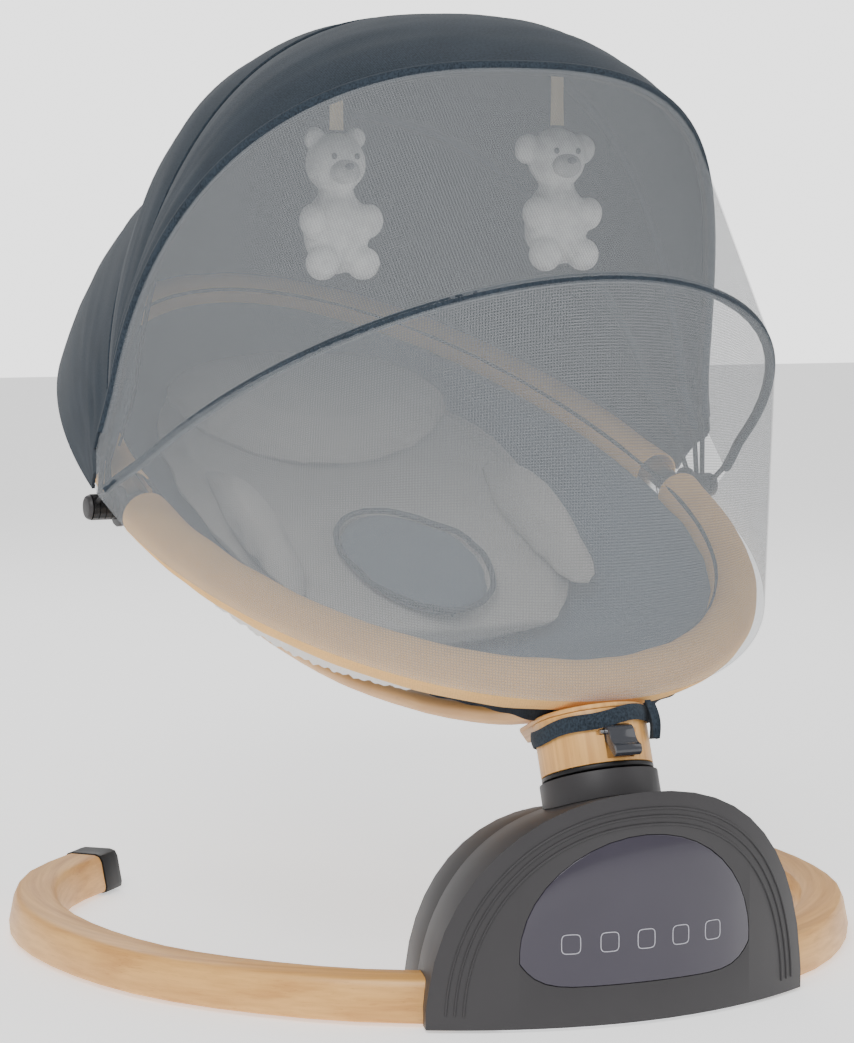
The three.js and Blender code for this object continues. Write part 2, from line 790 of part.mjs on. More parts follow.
// Bent wooden spine under the seat, from the stem platform to the back of the rim.
function spine() {
  const half = spineThickness / 2;
  const points = [
    [-250, 33.5], [-193, 21.5], [-103, 13], [-25, 10.5], [79, 12], [170, 19.5],
    [252, 31], [318, 48], [364, 81], [392, 137], [398, 200], [391, 251], [387, 269],
  ].map(([y, rise]) => vec(0, y, postZ + rise + half));
  const section = new THREE.Shape();
  const w = spineWidth / 2;
  const r = 4;
  section.moveTo(-w + r, -half);
  section.lineTo(w - r, -half);
  section.lineTo(w, -half + r);
  section.lineTo(w, half - r);
  section.lineTo(w - r, half);
  section.lineTo(-w + r, half);
  section.lineTo(-w, half - r);
  section.lineTo(-w, -half + r);
  return named('seat_spine', new THREE.ExtrudeGeometry(section, {
    steps: 44, extrudePath: new THREE.CatmullRomCurve3(points), bevelEnabled: false,
  }), oak);
}

// ---------------------------------------------------------------- canopy
const flangeStart = rimHalfWidth + rimTubeRadius + gap;
const hubStart = flangeStart + pivotFlangeThickness + gap;
const hubX = (stack) => hubStart + hubPitch * stack + hubThickness / 2;

// Point of a loop: s runs 0 to 1 from the -X pivot to the +X one.
function loop(bow, s) {
  const a = Math.PI * (s - 0.5);
  const power = 2 / bow.roundness;
  const sign = Math.sign(a);
  const height = bow.height * Math.max(Math.cos(a), 0) ** power;
  const hub = bow.stack === undefined ? bow.halfWidth : hubX(bow.stack);
  const blend = 1 - THREE.MathUtils.smoothstep(height, bowStraight, bowStraight + bowBlend);
  const x = sign * (bow.halfWidth * Math.abs(Math.sin(a)) ** power + (hub - bow.halfWidth) * blend);
  const [foot, crown] = bow.lean;
  return { x, height, lean: rad(foot + (crown - foot) * (height / bow.height)) };
}

// Point in the object's frame from across, distance from the pivot line, and lean.
const swung = (x, height, lean) =>
  vec(x, seatY - height * Math.cos(lean), seatZ + height * Math.sin(lean));

function bowPath(bow) {
  const start = hubRadius - 2.5;
  const power = 2 / bow.roundness;
  const s0 = 0.5 - Math.acos((start / bow.height) ** (1 / power)) / Math.PI;
  return new Path((t) => {
    const p = loop(bow, s0 + (1 - 2 * s0) * t);
    return swung(p.x, p.height, p.lean);
  });
}

function bowRod(name, bow) {
  const rod = sweep(bowPath(bow), bowRodRadius, 36, 5);
  const x = hubX(bow.stack);
  const hubs = [-1, 1].map((side) =>
    turned(hubRadius, -hubThickness / 2, hubThickness / 2, pinRadius + 0.3, 14)
      .rotateY(Math.PI / 2).translate(side * x, seatY, seatZ));
  return named(name, join(rod, ...hubs), blackPlastic);
}

function canopyPivot(label, side) {
  const stackEnd = pivotFlangeThickness + gap + 4 * hubPitch;
  const outline = [
    [0, 0], [pivotFlange, 0], [pivotFlange, pivotFlangeThickness], [pinRadius, pivotFlangeThickness],
    [pinRadius, stackEnd], [hubRadius, stackEnd], [hubRadius - 1.5, stackEnd + 3], [0, stackEnd + 3],
  ].map(([r, z]) => new THREE.Vector2(r, z));
  const knob = new THREE.LatheGeometry(outline, 14).rotateZ(-side * Math.PI / 2)
    .translate(side * flangeStart, seatY, seatZ);
  return named(`canopy_pivot_${label}`, knob, darkPlastic);
}

const edgeLean = 180 - THREE.MathUtils.radToDeg(seatLean);
const rimEdge = rimSleeveRadius + 1;
const loops = {
  ...bows,
  rimRear: {
    lean: [edgeLean, edgeLean], halfWidth: rimHalfWidth + rimEdge,
    height: rimRear + rimEdge, roundness: 2,
  },
  rimFront: {
    lean: [edgeLean - 180, edgeLean - 180], halfWidth: rimHalfWidth + rimEdge,
    height: rimFront + rimEdge, roundness: 2,
  },
};

// Fabric between two loops, either pulled straight or swelling by puff in the middle.
function cover(from, to, puff, thickness) {
  const pivot = vec(0, seatY, seatZ);
  const layer = (offset) => (u, v) => {
    const s = coverMargin + (1 - 2 * coverMargin) * u;
    const w = coverEdge + (1 - 2 * coverEdge) * v;
    const a = loop(from, s);
    const b = loop(to, s);
    const mix = (p, q) => p + (q - p) * w;
    const draw = (p, q) => p + (q - p) * Math.sin(Math.PI * w / 2);
    if (puff === taut) {
      return swung(a.x, a.height, a.lean).lerp(swung(b.x, b.height, b.lean), w).sub(pivot)
        .multiplyScalar(1 + offset / Math.hypot(a.x, a.height)).add(pivot);
    }
    const x = draw(a.x, b.x);
    const height = draw(a.height, b.height);
    const size = Math.hypot(x, height);
    const grow = (size + offset + puff * Math.sin(Math.PI * w) * Math.sin(Math.PI * s)) / size;
    return swung(x * grow, height * grow, mix(a.lean, b.lean));
  };
  return wall(30, 4, layer(coverGap + thickness), layer(coverGap));
}

function canopy() {
  return [
    canopyPivot('left', 1),
    canopyPivot('right', -1),
    bowRod('rear_bow', bows.rear),
    bowRod('mid_bow', bows.mid),
    bowRod('front_bow', bows.front),
    bowRod('net_bow', bows.net),
    named('canopy_rear', cover(loops.rimRear, loops.rear, rearPuff, coverThickness), slate),
    named('canopy_mid', cover(loops.rear, loops.mid, midPuff, coverThickness), slate),
    named('canopy_front', cover(loops.mid, loops.front, frontPuff, coverThickness), slate),
    named('net_upper', cover(loops.front, loops.net, taut, netThickness), netCloth),
    named('net_lower', cover(loops.net, loops.rimFront, taut, netThickness), netCloth),
  ];
}

// ---------------------------------------------------------------- hanging toys
function ball(radius, x, y, z, squash = [1, 1, 1]) {
  return new THREE.SphereGeometry(radius, 10, 6).scale(...squash).translate(x, y, z);
}

function toy(label, x, drop) {
  const headZ = toyTop - drop - toyHeadRadius;
  const bodyZ = headZ - toyHeadRadius - toyBodyRadius * 0.9;
  const body = join(
    ball(toyHeadRadius, x, toyY, headZ, [1, 0.85, 1]),
    ball(toyBodyRadius, x, toyY, bodyZ, [0.95, 0.75, 1.1]),
    ball(8, x - 15, toyY, headZ + 17),
    ball(8, x + 15, toyY, headZ + 17),
    ball(11, x - 20, toyY - 8, bodyZ + 8),
    ball(11, x + 20, toyY - 8, bodyZ + 8),
    ball(12, x - 15, toyY - 10, bodyZ - 22),
    ball(12, x + 15, toyY - 10, bodyZ - 22),
  );
  const ribbonLow = headZ + toyHeadRadius + gap;
  const ribbon = block(
    vec(x - ribbonWidth / 2, toyY - ribbonThickness / 2, ribbonLow),
    vec(x + ribbonWidth / 2, toyY + ribbonThickness / 2, toyTop),
  );
  return [
    named(`toy_${label}`, body, plush),
    named(`toy_ribbon_${label}`, ribbon, ribbonCloth),
  ];
}

// ---------------------------------------------------------------- assembly
const swing = new THREE.Group();
swing.add(
  ...baseArm('left', 1),
  ...baseArm('right', -1),
  ...housing(),
  ...housingInside(),
  drive(),
  stem(),
  seat(),
  spine(),
  ...canopy(),
  ...toy('right', toyX[0], toyDrop[0]),
  ...toy('left', toyX[1], toyDrop[1]),
);

// Stand the object on the floor with the middle of its box over the origin.
swing.updateMatrixWorld(true);
const box = new THREE.Box3().setFromObject(swing, true);
const middle = box.getCenter(new THREE.Vector3());
swing.position.set(-middle.x, -middle.y, -box.min.z);

export default swing;
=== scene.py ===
import json
import math

import bpy
from mathutils import Matrix, Vector, noise


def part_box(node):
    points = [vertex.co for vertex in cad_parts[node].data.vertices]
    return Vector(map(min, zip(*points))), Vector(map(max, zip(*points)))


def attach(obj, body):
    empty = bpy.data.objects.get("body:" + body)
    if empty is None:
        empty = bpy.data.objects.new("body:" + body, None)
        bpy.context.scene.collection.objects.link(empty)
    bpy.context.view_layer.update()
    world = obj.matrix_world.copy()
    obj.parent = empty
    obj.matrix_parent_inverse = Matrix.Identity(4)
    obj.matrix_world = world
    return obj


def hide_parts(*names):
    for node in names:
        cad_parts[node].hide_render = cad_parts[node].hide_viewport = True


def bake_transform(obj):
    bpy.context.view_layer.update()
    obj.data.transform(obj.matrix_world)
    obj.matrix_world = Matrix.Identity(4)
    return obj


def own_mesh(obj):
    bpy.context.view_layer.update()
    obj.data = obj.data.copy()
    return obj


bl_info = {
    "name": "Baby swing",
    "version": (1, 0, 0),
    "blender": (4, 5, 0),
    "location": "3D View > Sidebar > Swing",
    "description": "Dresses the frame of an electric baby swing in wood, mouldings, cushions, canopy and net",
    "category": "Object",
}

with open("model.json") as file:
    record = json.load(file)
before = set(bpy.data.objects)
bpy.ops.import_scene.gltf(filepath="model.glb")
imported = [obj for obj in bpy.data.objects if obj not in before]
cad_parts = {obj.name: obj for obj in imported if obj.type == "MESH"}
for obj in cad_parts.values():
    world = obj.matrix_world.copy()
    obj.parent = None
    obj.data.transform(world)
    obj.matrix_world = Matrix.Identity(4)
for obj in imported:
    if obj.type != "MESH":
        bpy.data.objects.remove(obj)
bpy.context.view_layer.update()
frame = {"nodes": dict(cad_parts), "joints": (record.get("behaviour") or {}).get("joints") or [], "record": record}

# ------------------------------------------------------------------ places taken from the frame
JOINTS = {joint["name"]: joint for joint in frame["joints"]}
PIVOT = Vector(JOINTS["canopy_fold"]["pos_m"])
POST = Vector(JOINTS["swing"]["pos_m"])
SEAT_LEAN = math.radians(20)
POST_LEAN = math.radians(20)
SEAT = Matrix.Translation(PIVOT) @ Matrix.Rotation(SEAT_LEAN, 4, "X")
STEM = Matrix.Translation(POST) @ Matrix.Rotation(-POST_LEAN, 4, "X")
RING_CENTRE = Vector((0, PIVOT.y + 0.004, 0))
RING_RADIUS = 0.28
STEM_RADIUS = 0.036

# tie round the stem, net and ribbons
TIE_WIDTH = 0.0104
TIE_HEIGHT = 0.0320
TAIL_TURN = 0.86
NET_THREADS = 165.0
RIBBON_HALF_WIDTH = 0.0052

# light: the sky's strength, and what the camera sees behind the object on top of it
SKY_STRENGTH = 0.6
BACKDROP_EXTRA = 1.8

# seat rim: an egg-shaped loop about the canopy pivots
RIM_HALF_WIDTH = 0.208
RIM_FRONT = 0.293
RIM_REAR = 0.405
SLEEVE_END_GAP = 0.054
SHELL_CLOTH = 0.0026
SLEEVE_RADIUS = 0.0162
BOWL_DEPTH = 0.088

# insert and the cushions on it
INSERT_FRONT = -0.100
PAD_HALF_WIDTH = 0.053
PAD_HALF_LENGTH = 0.076
PAD_CENTRE = -0.015

# housing: an arch with a bowed face
HOUSING_HALF_WIDTH = 0.134
HOUSING_HEIGHT = 0.146
HOUSING_ROUNDNESS = 2.2
FACE_BOW = 0.25
FACE_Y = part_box("touch_panel")[0].y
RIDGE_FOOT = 0.008
RIDGE_RADIUS = 0.0008
RIDGE_INSETS = (0.0105, 0.0155, 0.0205)
KEY_COUNT = 5
KEY_PITCH = 0.025
KEY_HALF = 0.006
KEY_HEIGHT = 0.054

# canopy: each bow is a loop through the pivots, given by its lean at foot and crown
HUB_HALF_THICKNESS = 0.002
COVER_MARGIN = 0.022
COVER_GAP = 0.005
BOWS = {
    "rear": {"lean": (117, 117), "half": 0.214, "height": 0.306, "roundness": 2.2},
    "mid": {"lean": (89, 89), "half": 0.218, "height": 0.329, "roundness": 2.3},
    "front": {"lean": (88, 60), "half": 0.228, "height": 0.336, "roundness": 2.5},
    "net": {"lean": (28, 28), "half": 0.231, "height": 0.334, "roundness": 2.0},
    "rim_rear": {"lean": (160, 160), "half": 0.225, "height": 0.422, "roundness": 2.0},
    "rim_front": {"lean": (-20, -20), "half": 0.225, "height": 0.310, "roundness": 2.0},
}
for key in ("rear", "mid", "front", "net"):
    BOWS[key]["hub"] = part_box(f"{key}_bow")[1].x - HUB_HALF_THICKNESS


# ------------------------------------------------------------------ sizes and colours a user may change
def length(label, description, default):
    return bpy.props.FloatProperty(name=label, description=description, default=default, unit="LENGTH", min=0)


def colour(label, description, default):
    return bpy.props.FloatVectorProperty(
        name=label, description=description, default=default, size=3, subtype="COLOR", min=0, max=1)


class SwingSizes(bpy.types.PropertyGroup):
    edge: length("Edge rounding", "Radius on the edges of the hard pieces", 0.0012)
    piping: length("Piping", "Radius of the piping on the canopy's and net's edges", 0.0038)
    cloth: length("Cloth", "Thickness of the canopy's fabric", 0.0022)
    mesh_cloth: length("Net", "Thickness of the insect net", 0.0008)
    swell: length("Swell", "How far a cushion's skin may puff out", 0.006)


class SwingColours(bpy.types.PropertyGroup):
    oak: colour("Oak", "Wood-look foil, light part of the grain", (0.80, 0.44, 0.135))
    oak_dark: colour("Oak grain", "Dark part of the grain", (0.50, 0.22, 0.055))
    housing: colour("Housing", "Motor housing", (0.042, 0.040, 0.042))
    panel: colour("Panel", "Touch panel", (0.042, 0.037, 0.053))
    # canopy's inner side: the canopy colour darkened as painted shade for the shade under the canopy
    canopy: colour("Canopy", "Canopy fabric, outside", (0.021, 0.029, 0.039))
    lining: colour("Canopy lining", "Canopy fabric, inside", (0.014, 0.017, 0.022))
    rim: colour("Rim", "Knitted rim sleeve", (0.85, 0.50, 0.19))
    liner: colour("Liner", "Seat fabric", (0.105, 0.135, 0.170))
    insert: colour("Insert", "Seat insert and cushions", (0.52, 0.49, 0.45))
    net: colour("Net", "Insect net", (0.36, 0.38, 0.40))
    plush: colour("Plush", "Hanging toys", (0.84, 0.84, 0.82))


def sizes():
    return bpy.context.scene.swing_sizes


def colours():
    return bpy.context.scene.swing_colours


# ------------------------------------------------------------------ shader node helpers
def add(tree, kind, inputs=None, **settings):
    """A node with its settings and inputs; an input is a value or another node's socket."""
    node = tree.nodes.new(kind)
    for key, value in settings.items():
        setattr(node, key, value)
    for key, value in (inputs or {}).items():
        if isinstance(value, bpy.types.NodeSocket):
            tree.links.new(value, node.inputs[key])
        else:
            node.inputs[key].default_value = value
    return node


def maths(tree, operation, a, b=0.0):
    return add(tree, "ShaderNodeMath", {0: a, 1: b}, operation=operation).outputs[0]


def mixed(tree, factor, a, b):
    node = add(tree, "ShaderNodeMix", {"Factor": factor}, data_type="RGBA")
    for socket, value in ((node.inputs[6], a), (node.inputs[7], b)):
        if isinstance(value, bpy.types.NodeSocket):
            tree.links.new(value, socket)
        else:
            socket.default_value = value
    return node.outputs[2]


def ramp(tree, value, low, high):
    return add(tree, "ShaderNodeMapRange", {"Value": value, "From Min": low, "From Max": high}).outputs[0]


def stretched(tree, vector, scale):
    return add(tree, "ShaderNodeVectorMath", {0: vector, 1: scale}, operation="MULTIPLY").outputs[0]


def group(name, inputs, outputs):
    """A shader group, built once, with its own input and output nodes."""
    tree = bpy.data.node_groups.new(name, "ShaderNodeTree")
    for label, kind in inputs:
        tree.interface.new_socket(label, in_out="INPUT", socket_type=kind)
    for label, kind in outputs:
        tree.interface.new_socket(label, in_out="OUTPUT", socket_type=kind)
    return tree, tree.nodes.new("NodeGroupInput").outputs, tree.nodes.new("NodeGroupOutput").inputs


VECTOR, COLOUR, FLOAT = "NodeSocketVector", "NodeSocketColor", "NodeSocketFloat"


def woven_cloth():
    """Crossed threads with the uneven colour of a heather yarn."""
    found = bpy.data.node_groups.get("woven_cloth")
    if found:
        return found
    tree, given, out = group(
        "woven_cloth",
        [("Vector", VECTOR), ("Light", COLOUR), ("Dark", COLOUR), ("Threads", FLOAT), ("Heather", FLOAT)],
        [("Colour", COLOUR), ("Height", FLOAT)])
    threads = [
        add(tree, "ShaderNodeTexWave", {
            "Vector": given["Vector"], "Scale": given["Threads"], "Distortion": 0.6, "Detail": 1.0,
        }, bands_direction=direction).outputs["Fac"]
        for direction in ("X", "Y")]
    weave = maths(tree, "MAXIMUM", *threads)
    yarn = add(tree, "ShaderNodeTexNoise", {"Vector": given["Vector"], "Scale": 650.0, "Detail": 3.0})
    slub = add(tree, "ShaderNodeTexNoise", {"Vector": given["Vector"], "Scale": 34.0, "Detail": 4.0})
    speck = maths(tree, "MULTIPLY", ramp(tree, yarn.outputs[0], 0.35, 0.68), given["Heather"])
    shade = maths(tree, "ADD", maths(tree, "MULTIPLY", weave, 0.35), speck)
    shade = maths(tree, "ADD", shade, maths(tree, "MULTIPLY", ramp(tree, slub.outputs[0], 0.3, 0.7), 0.22))
    tree.links.new(mixed(tree, shade, given["Dark"], given["Light"]), out["Colour"])
    tree.links.new(maths(tree, "ADD", weave, maths(tree, "MULTIPLY", yarn.outputs[0], 0.5)), out["Height"])
    return tree


def oak_grain():
    """Oak: long streaks along the vector's X, pores, and a slow change of tone."""
    found = bpy.data.node_groups.get("oak_grain")
    if found:
        return found
    tree, given, out = group(
        "oak_grain", [("Vector", VECTOR), ("Light", COLOUR), ("Dark", COLOUR)],
        [("Colour", COLOUR), ("Roughness", FLOAT), ("Height", FLOAT)])
    streak = add(tree, "ShaderNodeTexNoise", {
        "Vector": stretched(tree, given["Vector"], (9, 230, 230)), "Scale": 1.0, "Detail": 5.0,
        "Roughness": 0.6})
    figure = add(tree, "ShaderNodeTexWave", {
        "Vector": stretched(tree, given["Vector"], (1.2, 14, 14)), "Scale": 1.6, "Distortion": 5.0,
        "Detail": 3.0, "Detail Scale": 1.3}, bands_direction="Y")
    pores = add(tree, "ShaderNodeTexNoise", {
        "Vector": stretched(tree, given["Vector"], (60, 1100, 1100)), "Scale": 1.0, "Detail": 2.0})
    dark = maths(tree, "MULTIPLY", ramp(tree, streak.outputs[0], 0.38, 0.72), 0.55)
    rings = maths(tree, "MULTIPLY", ramp(tree, figure.outputs["Fac"], 0.35, 1.0), 0.28)
    dark = maths(tree, "ADD", dark, rings)
    pore = ramp(tree, pores.outputs[0], 0.62, 0.72)
    dark = maths(tree, "ADD", dark, maths(tree, "MULTIPLY", pore, 0.30))
    tree.links.new(mixed(tree, dark, given["Light"], given["Dark"]), out["Colour"])
    rough = maths(tree, "MULTIPLY", streak.outputs[0], 0.18)
    tree.links.new(maths(tree, "ADD", rough, 0.36), out["Roughness"])
    tree.links.new(maths(tree, "SUBTRACT", streak.outputs[0], pore), out["Height"])
    return tree


def moulded_skin():
    """Fine spark-eroded texture of a moulding, with faint smudges."""
    found = bpy.data.node_groups.get("moulded_skin")
    if found:
        return found
    tree, given, out = group(
        "moulded_skin", [("Vector", VECTOR), ("Colour", COLOUR), ("Roughness", FLOAT)],
        [("Colour", COLOUR), ("Roughness", FLOAT), ("Height", FLOAT)])
    grit = add(tree, "ShaderNodeTexNoise", {"Vector": given["Vector"], "Scale": 1400.0, "Detail": 2.0})
    smudge = add(tree, "ShaderNodeTexNoise", {"Vector": given["Vector"], "Scale": 18.0, "Detail": 4.0})
    tone = add(tree, "ShaderNodeHueSaturation", {
        "Color": given["Colour"],
        "Value": maths(tree, "ADD", maths(tree, "MULTIPLY", smudge.outputs[0], 0.25), 0.875)})
    tree.links.new(tone.outputs[0], out["Colour"])
    rough = maths(tree, "MULTIPLY", maths(tree, "SUBTRACT", smudge.outputs[0], 0.5), 0.16)
    tree.links.new(maths(tree, "ADD", given["Roughness"], rough), out["Roughness"])
    tree.links.new(grit.outputs[0], out["Height"])
    return tree


def short_pile():
    """Tufts of a short plush."""
    found = bpy.data.node_groups.get("short_pile")
    if found:
        return found
    tree, given, out = group(
        "short_pile", [("Vector", VECTOR), ("Colour", COLOUR)], [("Colour", COLOUR), ("Height", FLOAT)])
    tuft = add(tree, "ShaderNodeTexVoronoi", {"Vector": given["Vector"], "Scale": 620.0})
    clump = add(tree, "ShaderNodeTexNoise", {"Vector": given["Vector"], "Scale": 120.0, "Detail": 5.0})
    shade = ramp(tree, clump.outputs[0], 0.25, 0.6)
    tree.links.new(mixed(tree, shade, (0.62, 0.62, 0.60, 1), given["Colour"]), out["Colour"])
    tree.links.new(maths(tree, "SUBTRACT", clump.outputs[0], tuft.outputs["Distance"]), out["Height"])
    return tree


# ------------------------------------------------------------------ materials
def blank(name):
    made = bpy.data.materials.new(name)
    made.use_nodes = True
    return made, made.node_tree, made.node_tree.nodes["Principled BSDF"]


def wire(tree, shader, node, bump, distance):
    """Joins a group's outputs to the shader, its height through a bump."""
    tree.links.new(node.outputs["Colour"], shader.inputs["Base Color"])
    if "Roughness" in node.outputs:
        tree.links.new(node.outputs["Roughness"], shader.inputs["Roughness"])
    relief = add(tree, "ShaderNodeBump", {
        "Height": node.outputs["Height"], "Strength": bump, "Distance": distance})
    tree.links.new(relief.outputs[0], shader.inputs["Normal"])


def coordinates(tree, kind):
    """Object or UV coordinates, or the piece turned so that the oak's grain lies along X."""
    place = tree.nodes.new("ShaderNodeTexCoord")
    if kind in ("UV", "Object"):
        return place.outputs[kind]
    if kind == "plank":
        parts = add(tree, "ShaderNodeSeparateXYZ", {0: place.outputs["Object"]})
        run = maths(tree, "ADD", parts.outputs[1], parts.outputs[2])
        return add(tree, "ShaderNodeCombineXYZ", {0: run, 1: parts.outputs[0], 2: 0.3}).outputs[0]
    centre, turn = (RING_CENTRE, 0.0) if kind == "ring" else (POST, -POST_LEAN)
    local = add(tree, "ShaderNodeMapping", {
        "Vector": place.outputs["Object"], "Location": centre, "Rotation": (turn, 0, 0),
    }, vector_type="TEXTURE")
    parts = add(tree, "ShaderNodeSeparateXYZ", {0: local.outputs[0]})
    angle = maths(tree, "ARCTAN2", parts.outputs[0], maths(tree, "MULTIPLY", parts.outputs[1], -1.0))
    squares = maths(tree, "ADD", maths(tree, "MULTIPLY", parts.outputs[0], parts.outputs[0]),
                    maths(tree, "MULTIPLY", parts.outputs[1], parts.outputs[1]))
    radius = maths(tree, "POWER", squares, 0.5)
    if kind == "ring":
        arc = maths(tree, "MULTIPLY", angle, RING_RADIUS)
        return add(tree, "ShaderNodeCombineXYZ", {0: arc, 1: radius, 2: parts.outputs[2]}).outputs[0]
    arc = maths(tree, "MULTIPLY", angle, STEM_RADIUS)
    return add(tree, "ShaderNodeCombineXYZ", {0: parts.outputs[2], 1: arc, 2: 0.1}).outputs[0]


def oak(name, kind):
    made, tree, shader = blank(name)
    grain = add(tree, "ShaderNodeGroup", node_tree=oak_grain())
    tree.links.new(coordinates(tree, kind), grain.inputs["Vector"])
    grain.inputs["Light"].default_value = (*colours().oak, 1)
    grain.inputs["Dark"].default_value = (*colours().oak_dark, 1)
    wire(tree, shader, grain, 0.25, 0.00008)
    shader.inputs["Coat Weight"].default_value = 0.12
    shader.inputs["Coat Roughness"].default_value = 0.3
    return made


def plastic(name, tint, roughness, bump=0.12, coat=0.0):
    made, tree, shader = blank(name)
    skin = add(tree, "ShaderNodeGroup", node_tree=moulded_skin())
    tree.links.new(coordinates(tree, "Object"), skin.inputs["Vector"])
    skin.inputs["Colour"].default_value = (*tint, 1)
    skin.inputs["Roughness"].default_value = roughness
    wire(tree, shader, skin, bump, 0.00004)
    shader.inputs["Specular IOR Level"].default_value = 0.3
    shader.inputs["Coat Weight"].default_value = coat
    shader.inputs["Coat Roughness"].default_value = 0.05
    return made


def metal(name, tint, roughness):
    made = plastic(name, tint, roughness, 0.05)
    made.node_tree.nodes["Principled BSDF"].inputs["Metallic"].default_value = 1.0
    return made


def cloth(name, tint, kind="UV", threads=240.0, heather=0.5, contrast=0.45, sheen=0.25, bump=0.5):
    made, tree, shader = blank(name)
    weave = add(tree, "ShaderNodeGroup", node_tree=woven_cloth())
    tree.links.new(coordinates(tree, kind), weave.inputs["Vector"])
    weave.inputs["Light"].default_value = (*(min(1.0, c * (1 + contrast)) for c in tint), 1)
    weave.inputs["Dark"].default_value = (*(c * (1 - contrast) for c in tint), 1)
    weave.inputs["Threads"].default_value = threads
    weave.inputs["Heather"].default_value = heather
    wire(tree, shader, weave, bump, 0.00010)
    shader.inputs["Roughness"].default_value = 0.92
    shader.inputs["Specular IOR Level"].default_value = 0.15
    shader.inputs["Sheen Weight"].default_value = sheen * 0.25
    shader.inputs["Sheen Roughness"].default_value = 0.5
    return made


def netting(name, tint, cover, thread_share):
    """See-through net: two crossed sets of fine threads that let most light by."""
    made, tree, shader = blank(name)
    place = coordinates(tree, "UV")
    lines = [
        add(tree, "ShaderNodeTexWave", {"Vector": place, "Scale": NET_THREADS},
            bands_direction=direction).outputs["Fac"]
        for direction in ("X", "Y")]
    mesh = maths(tree, "MAXIMUM", *lines)
    alpha = maths(tree, "ADD", maths(tree, "MULTIPLY", mesh, thread_share), cover)
    tree.links.new(alpha, shader.inputs["Alpha"])
    weave = mixed(tree, mesh, (*(c * 0.8 for c in tint), 1), (*tint, 1))
    tree.links.new(weave, shader.inputs["Base Color"])
    shader.inputs["Roughness"].default_value = 0.85
    shader.inputs["Specular IOR Level"].default_value = 0.1
    return made


def plush(name, tint):
    made, tree, shader = blank(name)
    pile = add(tree, "ShaderNodeGroup", node_tree=short_pile())
    tree.links.new(coordinates(tree, "Object"), pile.inputs["Vector"])
    pile.inputs["Colour"].default_value = (*tint, 1)
    wire(tree, shader, pile, 0.6, 0.0004)
    shader.inputs["Roughness"].default_value = 0.95
    shader.inputs["Sheen Weight"].default_value = 0.5
    return made


def finishes():
    """Every finish by name, made on first use."""
    c = colours()
    return {
        "oak_ring": lambda n: oak(n, "ring"),
        "oak_stem": lambda n: oak(n, "stem"),
        "oak": lambda n: oak(n, "plank"),
        "housing_plastic": lambda n: plastic(n, c.housing, 0.48),
        "black_plastic": lambda n: plastic(n, (0.010, 0.010, 0.011), 0.42),
        "gloss_plastic": lambda n: plastic(n, (0.040, 0.042, 0.050), 0.16, 0.02, 0.6),
        "panel_glass": lambda n: plastic(n, c.panel, 0.12, 0.0, 0.35),
        "key_print": lambda n: plastic(n, (0.55, 0.54, 0.60), 0.35, 0.0),
        "steel": lambda n: metal(n, (0.62, 0.63, 0.65), 0.32),
        "brass": lambda n: metal(n, (0.62, 0.45, 0.18), 0.34),
        "circuit_board": lambda n: plastic(n, (0.03, 0.12, 0.05), 0.3, 0.05, 0.4),
        "rubber": lambda n: plastic(n, (0.015, 0.015, 0.016), 0.8, 0.3),
        "canopy_fabric": lambda n: cloth(n, c.canopy, threads=225.0, heather=0.7, contrast=0.5, sheen=0.35),
        # the canopy's inner side: a darker copy of the canopy fabric, painted shade
        "canopy_inside_shaded": lambda n: cloth(n, c.lining, threads=225.0, heather=0.4, sheen=0.1),
        "tape_fabric": lambda n: cloth(n, c.canopy, "Object", 260.0, 0.8, 0.5, 0.3),
        "rim_fabric": lambda n: cloth(n, c.rim, threads=190.0, heather=0.35, contrast=0.2, sheen=0.3),
        "liner_fabric": lambda n: cloth(n, c.liner, threads=200.0, heather=0.6, contrast=0.3, sheen=0.3),
        "under_fabric": lambda n: cloth(n, (0.022, 0.027, 0.035), threads=200.0, heather=0.5),
        "pad_fabric": lambda n: cloth(n, c.liner, "Object", 200.0, 0.5, 0.25, 0.3),
        "insert_fabric": lambda n: cloth(n, c.insert, "Object", 250.0, 0.3, 0.14, 0.35, 0.35),
        "hem_fabric": lambda n: cloth(n, (0.80, 0.80, 0.79), threads=200.0, heather=0.2, contrast=0.12),
        "net_fabric": lambda n: netting(n, c.net, 0.10, 0.24),
        "plush": lambda n: plush(n, c.plush),
        "plush_grey": lambda n: plush(n, (0.42, 0.42, 0.41)),
        "ribbon": lambda n: cloth(n, (0.62, 0.50, 0.30), "Object", 300.0, 0.2, 0.2),
    }


def finish_of(name):
    own = f"swing_{name}"
    return bpy.data.materials.get(own) or finishes()[name](own)


# ------------------------------------------------------------------ modelling helpers
def deselect():
    bpy.ops.object.select_all(action="DESELECT")


def pick(piece, *others):
    deselect()
    for other in (piece, *others):
        other.select_set(True)
    bpy.context.view_layer.objects.active = piece


def placed(name, data):
    piece = bpy.data.objects.new(name, data)
    bpy.context.scene.collection.objects.link(piece)
    return piece


def modify(piece, kind, **settings):
    """Adds a modifier and applies it."""
    pick(piece)
    modifier = piece.modifiers.new(kind.lower(), kind)
    for key, value in settings.items():
        setattr(modifier, key, value)
    bpy.ops.object.modifier_apply(modifier=modifier.name)


def smooth(piece, angle=38):
    pick(piece)
    bpy.ops.object.shade_smooth_by_angle(angle=math.radians(angle))


def clad(piece, *names):
    piece.data.materials.clear()
    for name in names:
        piece.data.materials.append(finish_of(name))
    return piece


def belongs(piece, body):
    """The body a piece moves with."""
    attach(piece, body)


def edit(piece, *steps):
    """Runs edit-mode operators on all of a piece."""
    pick(piece)
    bpy.ops.object.mode_set(mode="EDIT")
    bpy.ops.mesh.select_all(action="SELECT")
    for operator, settings in steps:
        operator(**settings)
    bpy.ops.object.mode_set(mode="OBJECT")


